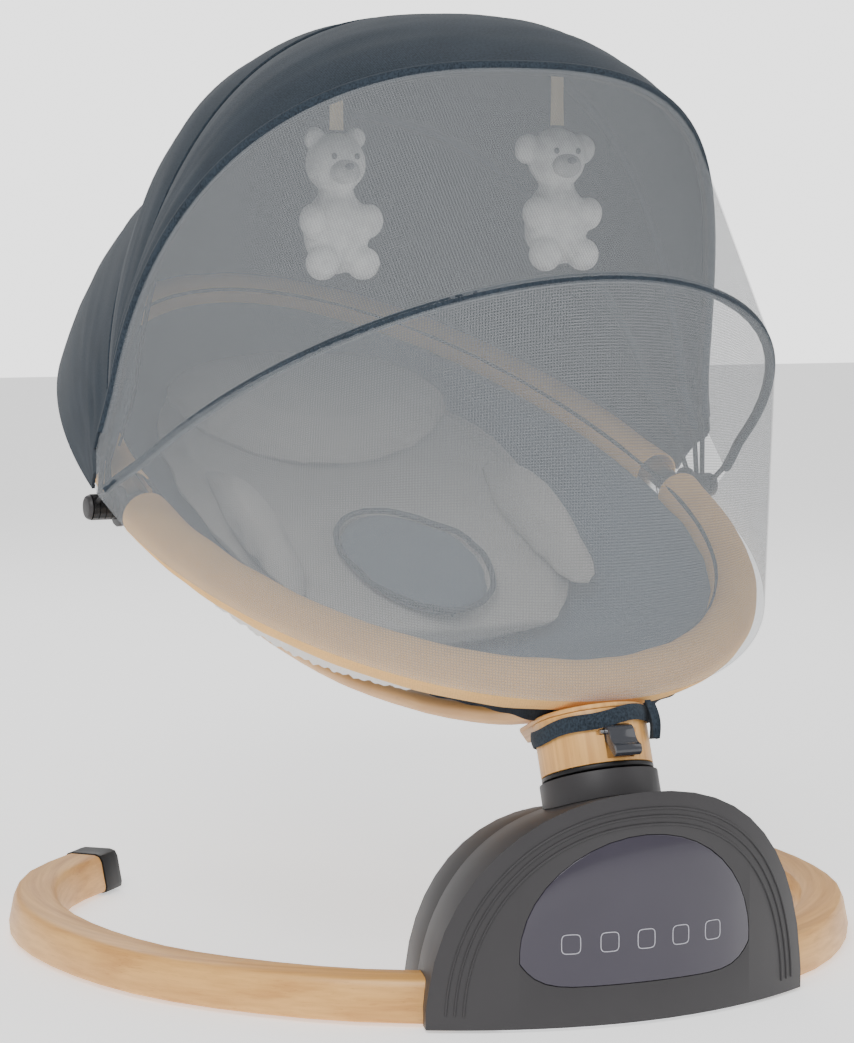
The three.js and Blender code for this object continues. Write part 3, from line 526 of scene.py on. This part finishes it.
def cad_copy(name, node, material, body, bevel=None):
    """A CAD node's shape with merged points, rounded edges and smooth curves."""
    piece = placed(name, frame["nodes"][node].data.copy())
    pick(piece)
    if piece.data.has_custom_normals:
        bpy.ops.mesh.customdata_custom_splitnormals_clear()
    edit(piece,
         (bpy.ops.mesh.remove_doubles, {"threshold": 2e-5}),
         (bpy.ops.mesh.dissolve_limited, {"angle_limit": math.radians(1)}))
    bevel = sizes().edge if bevel is None else bevel
    if bevel:
        modify(piece, "BEVEL", width=bevel, segments=3, limit_method="ANGLE", angle_limit=math.radians(38))
    smooth(piece)
    clad(piece, material)
    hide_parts(node)
    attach(piece, body)
    return piece


def bead(name, points, radius, closed=False, sides=3):
    """A round cord through points, as a closed mesh."""
    data = bpy.data.curves.new(name, "CURVE")
    data.dimensions = "3D"
    data.bevel_depth = radius
    data.bevel_resolution = sides
    data.use_fill_caps = True
    spline = data.splines.new("POLY")
    spline.points.add(len(points) - 1)
    for target, point in zip(spline.points, points):
        target.co = (*point, 1)
    spline.use_cyclic_u = closed
    piece = placed(name, data)
    pick(piece)
    bpy.ops.object.convert(target="MESH")
    piece = bpy.context.view_layer.objects.active
    edit(piece, (bpy.ops.mesh.remove_doubles, {"threshold": 1e-6}),
         (bpy.ops.mesh.normals_make_consistent, {"inside": False}))
    smooth(piece, 60)
    return piece


def joined(name, pieces):
    pick(*pieces)
    if len(pieces) > 1:
        bpy.ops.object.join()
    pieces[0].name = name
    return pieces[0]


def arc_lengths(points):
    total = [0.0]
    for a, b in zip(points, points[1:]):
        total.append(total[-1] + (b - a).length)
    return total


def surface(name, rows, wrap=False, away=None, flat_uv=None):
    """A quad sheet through rows of points, with its UV map in metres; away is a point on its inner side."""
    width = len(rows[0])
    points = [point for row in rows for point in row]
    faces = []
    for i in range(len(rows) - 1):
        for j in range(width if wrap else width - 1):
            k = (j + 1) % width
            faces.append((i * width + j, i * width + k, (i + 1) * width + k, (i + 1) * width + j))
    mesh = bpy.data.meshes.new(name)
    mesh.from_pydata([tuple(point) for point in points], [], faces)
    along = arc_lengths([row[width // 2] for row in rows])
    across = [arc_lengths(list(row) + [row[0]]) for row in rows]
    layer = mesh.uv_layers.new(name="UVMap")
    for polygon in mesh.polygons:
        corners = list(polygon.vertices)
        seam = wrap and any(c % width == 0 for c in corners) and any(c % width == width - 1 for c in corners)
        for loop, index in zip(polygon.loop_indices, corners):
            i, j = divmod(index, width)
            if flat_uv:
                layer.data[loop].uv = flat_uv(points[index])
                continue
            reach = across[i][width if seam and j == 0 else j]
            layer.data[loop].uv = (reach - across[i][width - 1] / 2, along[i])
    if away is not None:
        facing = sum((polygon.center - away).dot(polygon.normal) * polygon.area for polygon in mesh.polygons)
        if facing < 0:
            mesh.flip_normals()
    return placed(name, mesh)


def as_sheet(piece, thickness, materials):
    clad(piece, *materials)
    modify(piece, "SOLIDIFY", thickness=thickness, offset=-1, material_offset=len(materials) - 1)
    smooth(piece, 60)
    return piece


def ripple(point, scale, depth):
    return depth * noise.noise(point * scale)


def push_out(piece, depth, scale):
    """Small uneven waves over a piece's skin, along its normals."""
    moves = [vertex.normal * ripple(vertex.co, scale, depth) for vertex in piece.data.vertices]
    for vertex, move in zip(piece.data.vertices, moves):
        vertex.co += move


def puffed(piece, cap, voxel=0.005, pressure=4.0):
    """Fills a closed pad as cloth under pressure, holding each point near where it began."""
    edit(piece, (bpy.ops.mesh.remove_doubles, {"threshold": 2e-5}))
    piece.data.remesh_voxel_size = voxel
    pick(piece)
    bpy.ops.object.voxel_remesh()
    rest = [vertex.co - vertex.normal * cap * 0.5 for vertex in piece.data.vertices]
    for vertex, start in zip(piece.data.vertices, rest):
        vertex.co = start
    modifier = piece.modifiers.new("cloth", "CLOTH")
    modifier.settings.use_pressure = True
    modifier.settings.uniform_pressure_force = pressure
    modifier.settings.effector_weights.gravity = 0
    modifier.settings.quality = 4
    modifier.point_cache.frame_start = 1
    modifier.point_cache.frame_end = 20
    for step in range(1, 21):
        bpy.context.scene.frame_set(step)
    pick(piece)
    bpy.ops.object.modifier_apply(modifier=modifier.name)
    bpy.context.scene.frame_set(1)
    for vertex, start in zip(piece.data.vertices, rest):
        moved = vertex.co - start
        if moved.length > cap:
            vertex.co = start + moved * (cap / moved.length)
    modify(piece, "SMOOTH", factor=0.5, iterations=3)
    modify(piece, "SUBSURF", levels=1, render_levels=1)
    push_out(piece, 0.0016, 28)
    pick(piece)
    bpy.ops.object.shade_smooth()
    return piece


# ------------------------------------------------------------------ shapes of the seat and the canopy
def rim_at(angle, inset=0.0, share=1.0, z=0.0):
    """Point by the rim in the seat's own frame: angle 0 on +X, 90 degrees at the back."""
    reach = RIM_FRONT if math.sin(angle) < 0 else RIM_REAR
    return Vector((
        share * (RIM_HALF_WIDTH - inset) * math.cos(angle), share * (reach - inset) * math.sin(angle), z))


def bowl_floor(share):
    return -BOWL_DEPTH * (1 - share ** 2.4)


def swung(x, height, lean):
    return PIVOT + Vector((x, -height * math.cos(lean), height * math.sin(lean)))


def bow_at(bow, across):
    """Across, height and lean of a loop: across runs 0 to 1 from the -X pivot to the +X one."""
    angle = math.pi * (across - 0.5)
    power = 2 / bow["roundness"]
    height = bow["height"] * max(math.cos(angle), 0) ** power
    lift = min(max((height - 0.016) / 0.070, 0), 1)
    blend = 1 - lift * lift * (3 - 2 * lift)
    reach = bow["half"] * abs(math.sin(angle)) ** power
    x = math.copysign(reach + (bow.get("hub", bow["half"]) - bow["half"]) * blend, angle)
    foot, crown = bow["lean"]
    return x, height, math.radians(foot + (crown - foot) * height / bow["height"])


def loop_points(bow, offset, steps=72, margin=0.02, shift=0.0):
    """Points along a loop, offset away from its middle and shifted in lean by some degrees."""
    points = []
    for i in range(steps + 1):
        x, height, lean = bow_at(bow, margin + (1 - 2 * margin) * i / steps)
        grow = 1 + offset / math.hypot(x, height)
        points.append(swung(x * grow, height * grow, lean + math.radians(shift)))
    return points


def cover_rows(first, second, puff, offset, taut=False, rows=18, steps=90):
    """Rows of a cover from one loop to another, swelling by puff, or straight where it is taut."""
    made = []
    for i in range(rows + 1):
        w = i / rows
        ease = math.sin(math.pi * w / 2)
        row = []
        for j in range(steps + 1):
            s = COVER_MARGIN + (1 - 2 * COVER_MARGIN) * j / steps
            ax, ah, al = bow_at(first, s)
            bx, bh, bl = bow_at(second, s)
            if taut:
                point = swung(ax, ah, al).lerp(swung(bx, bh, bl), w) - PIVOT
                row.append(PIVOT + point * (1 + offset / math.hypot(ax, ah)))
                continue
            x, height = ax + (bx - ax) * ease, ah + (bh - ah) * ease
            size = math.hypot(x, height)
            fold = 0.0011 * math.sin(26 * s) * math.sin(math.pi * w)
            fold += ripple(Vector((x, height, w)), 14, 0.0014)
            swell = puff * math.sin(math.pi * w) * math.sin(math.pi * s)
            grow = (size + offset + swell + fold * math.sin(math.pi * w)) / size
            row.append(swung(x * grow, height * grow, al + (bl - al) * w))
        made.append(row)
    return made


# ------------------------------------------------------------------ base
def make_arms():
    for side in ("left", "right"):
        cad_copy(f"arm_{side}", f"base_tube_{side}", "oak_ring", "base", 0.0016)
        cad_copy(f"arm_cap_{side}", f"end_cap_{side}", "black_plastic", "base", 0.0012)


def face_at(x, z, proud=0.0):
    return Vector((x, FACE_Y + x * x / (2 * FACE_BOW) - proud, z))


def arch_points(inset, low, proud, steps=96):
    half, height = HOUSING_HALF_WIDTH - inset, HOUSING_HEIGHT - inset
    points = []
    for i in range(steps + 1):
        angle = math.pi * i / steps
        power = 2 / HOUSING_ROUNDNESS
        x = -math.copysign(half * abs(math.cos(angle)) ** power, math.cos(angle))
        z = height * math.sin(angle) ** power
        if z > low:
            points.append(face_at(x, z, proud))
    return points


def make_housing():
    cad_copy("housing_shell_front", "housing_front", "housing_plastic", "base", 0.0012)
    cad_copy("housing_shell_rear", "housing_rear", "housing_plastic", "base", 0.0012)
    cad_copy("neck", "neck_cowl", "housing_plastic", "base", 0.0018)
    ridges = [
        bead(f"ridge_{i}", arch_points(inset, RIDGE_FOOT, 0.0001), RIDGE_RADIUS)
        for i, inset in enumerate(RIDGE_INSETS)]
    rings = clad(joined("housing_ridges", ridges), "housing_plastic")
    belongs(rings, "base")


def key_outline(x):
    """A generic rounded square drawn on the panel's glass."""
    points = []
    for i in range(28):
        angle = 2 * math.pi * i / 28
        c, s = math.cos(angle), math.sin(angle)
        points.append(face_at(x + math.copysign(KEY_HALF * abs(c) ** 0.45, c),
                              KEY_HEIGHT + math.copysign(KEY_HALF * abs(s) ** 0.45, s), 0.0))
    return points


def make_panel():
    cad_copy("panel", "touch_panel", "panel_glass", "base", 0.0005)
    first = -KEY_PITCH * (KEY_COUNT - 1) / 2
    keys = [bead(f"key_{i}", key_outline(first + KEY_PITCH * i), 0.00028, closed=True, sides=1)
            for i in range(KEY_COUNT)]
    prints = clad(joined("panel_keys", keys), "key_print")
    belongs(prints, "base")


# ------------------------------------------------------------------ stem
def make_stem():
    cad_copy("post_collar_ring", "post_ring", "black_plastic", "post", 0.0008)
    cad_copy("collar", "stem_collar", "oak_stem", "seat", 0.0009)
    cad_copy("platform", "stem_platform", "oak", "seat", 0.0007)
    cad_copy("thumb_lever", "release_lever", "gloss_plastic", "lever", 0.0022)
    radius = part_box("stem_collar")[1].x + 0.0006
    rows = []
    for v in range(5):
        row = []
        for u in range(73):
            turn = math.radians(-150 + 290 * u / 72)
            drop = 0.0009 * math.sin(5 * turn)
            z = TIE_HEIGHT + 0.0036 * math.sin(turn) + drop + (v / 4 - 0.5) * TIE_WIDTH
            flare = 0.0009 * math.sin(math.pi * v / 4)
            row.append(around_stem(radius + 0.0014 + flare, turn, z))
        rows.append(row)
    strap = surface("stem_tie", rows, away=STEM @ Vector((0, 0, TIE_HEIGHT)))
    as_sheet(strap, 0.0012, ["tape_fabric"])
    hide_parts("stem_strap")
    belongs(strap, "seat")
    make_tie_end(radius)


def around_stem(radius, turn, z):
    """A point round the stem: turn 0 is at its front."""
    return STEM @ Vector((radius * math.sin(turn), -radius * math.cos(turn), z))


def make_tie_end(radius):
    """The tie's short tail, on the stem's +X side."""
    rows = []
    for v in range(9):
        row = []
        for u in range(7):
            turn = math.radians(38 + 22 * u / 6)
            z = 0.0415 - 0.024 * v / 8
            out = radius + 0.004 + 0.0025 * math.sin(3 * u / 6 * math.pi) + 0.002 * math.sin(v / 8 * math.pi)
            narrow = 1 - 0.35 * (v / 8) ** 2
            row.append(around_stem(out, TAIL_TURN + (turn - TAIL_TURN) * narrow, z))
        rows.append(row)
    tail = surface("stem_tie_tail", rows, away=STEM @ Vector((0, 0, 0.03)))
    as_sheet(tail, 0.0014, ["tape_fabric"])
    belongs(tail, "seat")


# ------------------------------------------------------------------ seat
def sleeve_rows(end, steps=110, sides=26):
    """Rings of the rim's sleeve; end is -1 for the front half and 1 for the rear one."""
    rows = []
    for i in range(steps + 1):
        t = i / steps
        angle = end * (SLEEVE_END_GAP + (math.pi - 2 * SLEEVE_END_GAP) * t)
        centre, ahead = rim_at(angle), rim_at(angle + end * 0.01)
        run = (ahead - centre).normalized()
        side = run.cross(Vector((0, 0, 1))).normalized()
        cuff = 1 + 0.05 * (math.exp(-t * 60) + math.exp(-(1 - t) * 60))
        row = []
        for j in range(sides):
            around = 2 * math.pi * j / sides
            crease = 0.00035 * math.sin(90 * t + 2 * math.sin(around)) * math.cos(around * 0.5) ** 2
            waves = ripple(centre + Vector((around, 0, 0)) * 0.01, 40, 0.0006)
            radius = SLEEVE_RADIUS * cuff + crease + waves
            offset = side * (radius * math.cos(around)) + Vector((0, 0, radius * math.sin(around)))
            row.append(SEAT @ (centre + offset))
        rows.append(row)
    return rows


def tube_facing(piece, rows):
    """Turns a tube's faces outwards, judged by its own middle line."""
    middle = sum(rows[0], Vector()) / len(rows[0])
    polygon = piece.data.polygons[0]
    if (polygon.center - middle).dot(polygon.normal) < 0:
        piece.data.flip_normals()


def make_rim():
    for label, end in (("front", -1), ("rear", 1)):
        rows = sleeve_rows(end)
        sleeve = surface(f"rim_cover_{label}", rows, wrap=True)
        tube_facing(sleeve, rows)
        as_sheet(sleeve, 0.0012, ["rim_fabric"])
        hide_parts(f"rim_sleeve_{label}")
        belongs(sleeve, "seat")
    seam = [SEAT @ rim_at(2 * math.pi * i / 160, inset=0.0132, z=0.0085) for i in range(160)]
    cord = clad(bead("rim_inner_piping", seam, 0.0016, closed=True), "tape_fabric")
    belongs(cord, "seat")
    cad_copy("spine", "seat_spine", "oak", "seat", 0.0018)


def make_shell():
    """The sewn seat bowl: light inside, dark outside."""
    rows = []
    for i in range(19):
        share = i / 18
        row = []
        for j in range(96):
            angle = 2 * math.pi * j / 96
            point = rim_at(angle, 0.0150, max(share, 0.002), bowl_floor(share) - 0.001)
            point.z += 0.0016 * math.sin(14 * angle) * share ** 3 * (1 - share) * 4
            point.z += ripple(point, 16, 0.003) * (1 - share)
            row.append(SEAT @ point)
        rows.append(row)
    inverse = SEAT.inverted()
    shell = surface("seat_shell", rows, wrap=True, away=SEAT @ Vector((0, 0, 0.6)),
                    flat_uv=lambda p: (inverse @ p).xy)
    edit(shell, (bpy.ops.mesh.remove_doubles, {"threshold": 2e-4}))
    shell.data.flip_normals()
    as_sheet(shell, SHELL_CLOTH, ["liner_fabric", "under_fabric"])
    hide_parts("seat_bowl")
    belongs(shell, "seat")


def rim_strip(name, start, end, depth, material):
    """A hem that hangs under the rim's sleeve between two angles; depth is a function of the share."""
    rows = []
    steps = 90
    for v in range(7):
        row = []
        for i in range(steps + 1):
            t = i / steps
            angle = math.radians(start + (end - start) * t)
            tuck = 0.0010 * math.sin(70 * t) * v / 6
            drop = depth(t) * v / 6
            spread = -0.004 - 0.35 * drop + tuck
            row.append(SEAT @ rim_at(angle, -spread - 0.008, z=-0.0135 - drop))
        rows.append(row)
    hem = surface(name, rows, away=PIVOT)
    as_sheet(hem, 0.0010, [material])
    belongs(hem, "seat")


def make_hems():
    def bell(t):
        return 0.004 + 0.016 * math.exp(-((t - 0.5) / 0.24) ** 2)

    def scallop(t):
        return (0.003 + 0.007 * math.sin(math.pi * t)) * (1 + 0.10 * math.sin(150 * t))

    rim_strip("seat_hem", -118, -62, bell, "under_fabric")
    rim_strip("net_hem_right", -160, -119, scallop, "hem_fabric")
    rim_strip("net_hem_left", -61, -20, scallop, "hem_fabric")


def cushion(name, node, material, cap, voxel, cut=None):
    """A stuffed cushion grown from its solid, cut square at the front where the real one is."""
    piece = placed(name, frame["nodes"][node].data.copy())
    piece.data.materials.clear()
    if piece.data.has_custom_normals:
        pick(piece)
        bpy.ops.mesh.customdata_custom_splitnormals_clear()
    steps = [(bpy.ops.mesh.remove_doubles, {"threshold": 2e-5})]
    if cut is not None:
        steps.append((bpy.ops.mesh.bisect, {
            "plane_co": SEAT @ Vector((0, cut, 0)), "plane_no": SEAT.to_3x3() @ Vector((0, -1, 0)),
            "use_fill": True, "clear_outer": True}))
    edit(piece, *steps)
    puffed(piece, cap, voxel)
    clad(piece, material)
    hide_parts(node)
    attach(piece, "seat")
    return piece


def make_cushions():
    cap = sizes().swell
    insert = cushion("insert", "seat_insert", "insert_fabric", cap, 0.006, INSERT_FRONT)
    for name, node in (
        ("pillow", "head_pillow"), ("wing_left", "side_wing_left"), ("wing_right", "side_wing_right"),
    ):
        cushion(name, node, "insert_fabric", cap, 0.0045)
    waist = cushion("waist_cushion", "waist_pad", "pad_fabric", cap * 0.6, 0.004)
    inverse = SEAT.inverted()
    skin = [inverse @ vertex.co for vertex in waist.data.vertices]
    top = max(point.z for point in skin)
    points = []
    for i in range(96):
        angle = 2 * math.pi * i / 96
        x, y = PAD_HALF_WIDTH * math.cos(angle), PAD_CENTRE + PAD_HALF_LENGTH * math.sin(angle)
        near = [p.z for p in skin if (p.x - x) ** 2 + (p.y - y) ** 2 < 0.008 ** 2]
        points.append(SEAT @ Vector((x, y, max(near, default=top - 0.01) + 0.0004)))
    piping = clad(bead("waist_piping", points, 0.0022, closed=True), "tape_fabric")
    belongs(piping, "seat")


# ------------------------------------------------------------------ canopy and net
def make_canopy():
    for side in ("left", "right"):
        cad_copy(f"pivot_{side}", f"canopy_pivot_{side}", "housing_plastic", "seat", 0.0009)
    offset = COVER_GAP + sizes().cloth
    for name, first, second, bodies, puff, band, node in (
        ("cover_rear", "rim_rear", "rear", ("seat", "bow_rear"), 0.008, 0.060, "canopy_rear"),
        ("cover_mid", "rear", "mid", ("bow_rear", "bow_mid"), 0.006, 0.045, "canopy_mid"),
        ("cover_front", "mid", "front", ("bow_mid", "bow_front"), 0.002, 0.030, "canopy_front"),
    ):
        rows = cover_rows(BOWS[first], BOWS[second], puff, offset)
        piece = surface(name, rows, away=PIVOT)
        # outer side in the canopy fabric, inner side in its darker copy, painted shade
        as_sheet(piece, sizes().cloth, ["canopy_fabric", "canopy_inside_shaded"])
        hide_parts(node)
        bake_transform(piece)
    thick = sizes().piping
    for name, bow, lift, radius, body in (
        ("rear_bow_sleeve", "rear", 0.002, 0.0036, "bow_rear"),
        ("mid_bow_sleeve", "mid", 0.002, 0.0036, "bow_mid"),
        ("front_edge_piping", "front", 0.0042, thick, "bow_front"),
        ("net_edge_piping", "net", 0.0020, thick * 0.95, "bow_net"),
        ("rear_seam", "rear", offset + 0.0004, 0.0014, "bow_rear"),
        ("mid_seam", "mid", offset + 0.0004, 0.0016, "bow_mid"),
    ):
        cord = clad(bead(name, loop_points(BOWS[bow], lift, margin=0.03), radius), "tape_fabric")
        belongs(cord, body)
    rows = [loop_points(BOWS["mid"], -0.004, 80, 0.03, shift) for shift in (-1.4, -0.7, 0, 0.7, 1.4)]
    band = surface("mid_bow_band", rows, away=PIVOT)
    # the strip under the mid bow uses the darker inner fabric, painted shade
    as_sheet(band, 0.0012, ["canopy_inside_shaded"])
    belongs(band, "bow_mid")


def make_nets():
    offset = COVER_GAP + sizes().mesh_cloth
    thin = sizes().mesh_cloth
    rows = cover_rows(BOWS["front"], BOWS["net"], 0, offset, taut=True)
    upper = surface("net_top", rows, away=PIVOT)
    as_sheet(upper, thin, ["net_fabric"])
    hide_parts("net_upper")
    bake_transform(upper)
    rows = cover_rows(BOWS["net"], BOWS["rim_front"], 0, offset, taut=True)
    lower = surface("net_front", rows, away=PIVOT)
    as_sheet(lower, thin, ["net_fabric"])
    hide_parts("net_lower")
    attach(lower, "bow_net")
    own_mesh(lower)


# ------------------------------------------------------------------ toys
def blob(radius, place, squash=(1, 1, 1), segments=24):
    """One stuffed lobe of a toy."""
    deselect()
    bpy.ops.mesh.primitive_uv_sphere_add(
        segments=segments, ring_count=segments // 2, radius=radius, location=place, scale=squash)
    lobe = bpy.context.active_object
    bpy.ops.object.transform_apply(location=True, rotation=True, scale=True)
    return lobe


def make_toy(label, big_ears):
    """A generic stuffed animal: round ears, muzzle, arms and feet."""
    low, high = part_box(f"toy_{label}")
    x = (low.x + high.x) / 2
    y = high.y - 0.0187
    head = high.z - 0.025
    body = head - 0.0463
    ear = (0.011, 0.021, 0.006) if big_ears else (0.008, 0.015, 0.017)
    lobes = [
        (0.0215, (x, y, head), (1, 0.88, 0.98)), (0.0262, (x, y, body), (0.92, 0.72, 1.12)),
        (0.0125, (x, y, head - 0.023), (1.1, 0.9, 0.9)),
    ]
    for side in (-1, 1):
        lobes += [
            (ear[0], (x + side * ear[1], y + 0.002, head + ear[2]), (1, 0.62, 1)),
            (0.0105, (x + side * 0.0205, y - 0.010, body + 0.007), (0.95, 0.95, 1.15)),
            (0.0120, (x + side * 0.0150, y - 0.012, body - 0.022), (0.95, 1.05, 1)),
        ]
    toy = joined(f"plush_{label}", [blob(*lobe) for lobe in lobes])
    toy.data.remesh_voxel_size = 0.0019
    pick(toy)
    bpy.ops.object.voxel_remesh()
    modify(toy, "SMOOTH", factor=0.5, iterations=6)
    push_out(toy, 0.0009, 60)
    pick(toy)
    bpy.ops.object.shade_smooth()
    clad(toy, "plush")
    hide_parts(f"toy_{label}")
    belongs(toy, f"toy_hung_{label}")
    muzzle = blob(0.0105, (x, y - 0.0165, head - 0.006), (1.05, 0.7, 0.82))
    push_out(muzzle, 0.0005, 120)
    muzzle = joined(f"plush_muzzle_{label}", [muzzle])
    smooth(muzzle, 60)
    clad(muzzle, "plush_grey")
    belongs(muzzle, f"toy_hung_{label}")
    beads = [
        blob(0.0020, (x + side * 0.0085, y - 0.0175, head + 0.0045), (1, 0.6, 1.1), 14) for side in (-1, 1)]
    beads.append(blob(0.0028, (x, y - 0.0243, head - 0.0025), (1.25, 0.6, 0.85), 14))
    face = joined(f"plush_eyes_{label}", beads)
    smooth(face, 60)
    clad(face, "gloss_plastic")
    belongs(face, f"toy_hung_{label}")


def make_ribbons():
    for label in ("left", "right"):
        low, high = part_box(f"toy_ribbon_{label}")
        middle = (low + high) / 2
        rows = []
        for i in range(17):
            z = low.z + (high.z - low.z) * i / 16
            twist = math.radians(10) * math.sin(math.pi * i / 16)
            row = []
            for j in (-1, -0.5, 0, 0.5, 1):
                reach = j * RIBBON_HALF_WIDTH
                x = middle.x + reach * math.cos(twist)
                row.append(Vector((x, middle.y + reach * math.sin(twist), z)))
            rows.append(row)
        tape = surface(f"ribbon_{label}", rows, away=Vector((middle.x, middle.y + 1, middle.z)))
        as_sheet(tape, 0.0007, ["ribbon"])
        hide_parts(f"toy_ribbon_{label}")
        belongs(tape, f"toy_hung_{label}")


# ------------------------------------------------------------------ carried-over pieces and the stage
def finish_nodes():
    """Each CAD node gets the finish of its own material slot."""
    for part in frame["record"]["subparts"]:
        clad(frame["nodes"][part["node"]], part["material_slot"])


def area_light(name, place, aim, size, power):
    data = bpy.data.lights.new(name, "AREA")
    data.shape = "DISK"
    data.size = size
    data.energy = power
    light = placed(name, data)
    light.location = place
    light.rotation_euler = (Vector(aim) - Vector(place)).to_track_quat("-Z", "Y").to_euler()


def make_stage():
    deselect()
    bpy.ops.mesh.primitive_plane_add(size=14, location=(0, 2, 0))
    floor = bpy.context.active_object
    floor.name = "floor"
    bpy.ops.object.transform_apply(location=True)
    made, tree, shader = blank("pale_floor")
    tone = add(tree, "ShaderNodeTexNoise", {"Vector": coordinates(tree, "Object"), "Scale": 3.0})
    tree.links.new(mixed(tree, tone.outputs[0], (0.86, 0.86, 0.86, 1), (0.90, 0.90, 0.90, 1)),
                   shader.inputs["Base Color"])
    shader.inputs["Roughness"].default_value = 0.7
    shader.inputs["Emission Color"].default_value = (1, 1, 1, 1)
    shader.inputs["Emission Strength"].default_value = 0.8
    floor.data.materials.append(made)
    world = bpy.data.worlds.new("studio")
    world.use_nodes = True
    background = world.node_tree.nodes["Background"]
    background.inputs["Color"].default_value = (1, 1, 1, 1)
    seen = world.node_tree.nodes.new("ShaderNodeLightPath").outputs["Is Camera Ray"]
    extra = maths(world.node_tree, "MULTIPLY", seen, BACKDROP_EXTRA)
    strength = maths(world.node_tree, "ADD", extra, SKY_STRENGTH)
    world.node_tree.links.new(strength, background.inputs["Strength"])
    bpy.context.scene.world = world
    middle = (0, 0, 0.32)
    area_light("key_light", (-1.4, -1.8, 2.2), middle, 1.6, 55)
    area_light("fill_light", (2.0, -1.2, 1.4), middle, 2.0, 14)
    area_light("rim_light", (0.4, 2.0, 2.0), middle, 1.6, 24)


def make_camera():
    """Camera a little left of the front and just above the seat."""
    turn, rise, distance = math.radians(-24.53), math.radians(4.69), 2.2
    pan, tilt = math.radians(0.28), math.radians(-0.39)
    back = Vector((math.sin(turn) * math.cos(rise), -math.cos(turn) * math.cos(rise), math.sin(rise)))
    right = Vector((math.cos(turn), math.sin(turn), 0))
    up = back.cross(right)
    ahead = -back * math.cos(pan) + right * math.sin(pan)
    right = right * math.cos(pan) + back * math.sin(pan)
    ahead, up = ahead * math.cos(tilt) + up * math.sin(tilt), up * math.cos(tilt) - ahead * math.sin(tilt)
    data = bpy.data.cameras.new("camera")
    data.lens = 106.2
    data.clip_end = 50
    camera = placed("camera", data)
    camera.matrix_world = Matrix.Translation(RING_CENTRE + Vector((0, 0, 0.3)) + back * distance) @ Matrix(
        (right, up, -ahead)).transposed().to_4x4()
    bpy.context.scene.camera = camera


# ------------------------------------------------------------------ operators and panel
class SWING_OT_stage(bpy.types.Operator):
    """Set up the floor, the lights and the camera"""
    bl_idname = "swing.stage"
    bl_label = "Stage"

    def execute(self, context):
        make_camera()
        make_stage()
        return {"FINISHED"}


class SWING_OT_nodes(bpy.types.Operator):
    """Give every frame node its finish"""
    bl_idname = "swing.nodes"
    bl_label = "Frame finishes"

    def execute(self, context):
        finish_nodes()
        return {"FINISHED"}


class SWING_OT_base(bpy.types.Operator):
    """Make the wooden arms, the housing and the touch panel"""
    bl_idname = "swing.base"
    bl_label = "Base"

    def execute(self, context):
        make_arms()
        make_housing()
        make_panel()
        return {"FINISHED"}


class SWING_OT_stem(bpy.types.Operator):
    """Make the stem with its lever and fabric tie"""
    bl_idname = "swing.stem"
    bl_label = "Stem"

    def execute(self, context):
        make_stem()
        return {"FINISHED"}


class SWING_OT_seat(bpy.types.Operator):
    """Make the rim's sleeves, the sewn seat and its hems"""
    bl_idname = "swing.seat"
    bl_label = "Seat"

    def execute(self, context):
        make_rim()
        make_shell()
        make_hems()
        return {"FINISHED"}


class SWING_OT_cushions(bpy.types.Operator):
    """Make the insert, the pillow, the wings and the waist cushion"""
    bl_idname = "swing.cushions"
    bl_label = "Cushions"

    def execute(self, context):
        make_cushions()
        return {"FINISHED"}


class SWING_OT_canopy(bpy.types.Operator):
    """Make the canopy's covers, piping and the insect net"""
    bl_idname = "swing.canopy"
    bl_label = "Canopy and net"

    def execute(self, context):
        make_canopy()
        make_nets()
        return {"FINISHED"}


class SWING_OT_toys(bpy.types.Operator):
    """Make the two hanging toys"""
    bl_idname = "swing.toys"
    bl_label = "Toys"

    def execute(self, context):
        make_toy("right", False)
        make_toy("left", True)
        make_ribbons()
        return {"FINISHED"}


OPERATORS = (
    SWING_OT_stage, SWING_OT_nodes, SWING_OT_base, SWING_OT_stem, SWING_OT_seat, SWING_OT_cushions,
    SWING_OT_canopy, SWING_OT_toys,
)


class SWING_PT_panel(bpy.types.Panel):
    """Sizes, colours and the steps of the model"""
    bl_idname = "SWING_PT_panel"
    bl_label = "Baby swing"
    bl_space_type = "VIEW_3D"
    bl_region_type = "UI"
    bl_category = "Swing"

    def draw(self, context):
        for settings in (context.scene.swing_sizes, context.scene.swing_colours):
            for key in settings.bl_rna.properties.keys():
                if key not in ("rna_type", "name"):
                    self.layout.prop(settings, key)
        for operator in OPERATORS:
            self.layout.operator(operator.bl_idname)


CLASSES = (SwingSizes, SwingColours, *OPERATORS, SWING_PT_panel)


def register():
    for cls in CLASSES:
        bpy.utils.register_class(cls)
    bpy.types.Scene.swing_sizes = bpy.props.PointerProperty(type=SwingSizes)
    bpy.types.Scene.swing_colours = bpy.props.PointerProperty(type=SwingColours)


def unregister():
    del bpy.types.Scene.swing_colours
    del bpy.types.Scene.swing_sizes
    for cls in reversed(CLASSES):
        bpy.utils.unregister_class(cls)


def main():
    register()
    bpy.ops.swing.stage()
    bpy.ops.swing.nodes()
    bpy.ops.swing.base()
    bpy.ops.swing.stem()
    bpy.ops.swing.seat()
    bpy.ops.swing.cushions()
    bpy.ops.swing.canopy()
    bpy.ops.swing.toys()


if __name__ == "__main__":
    main()
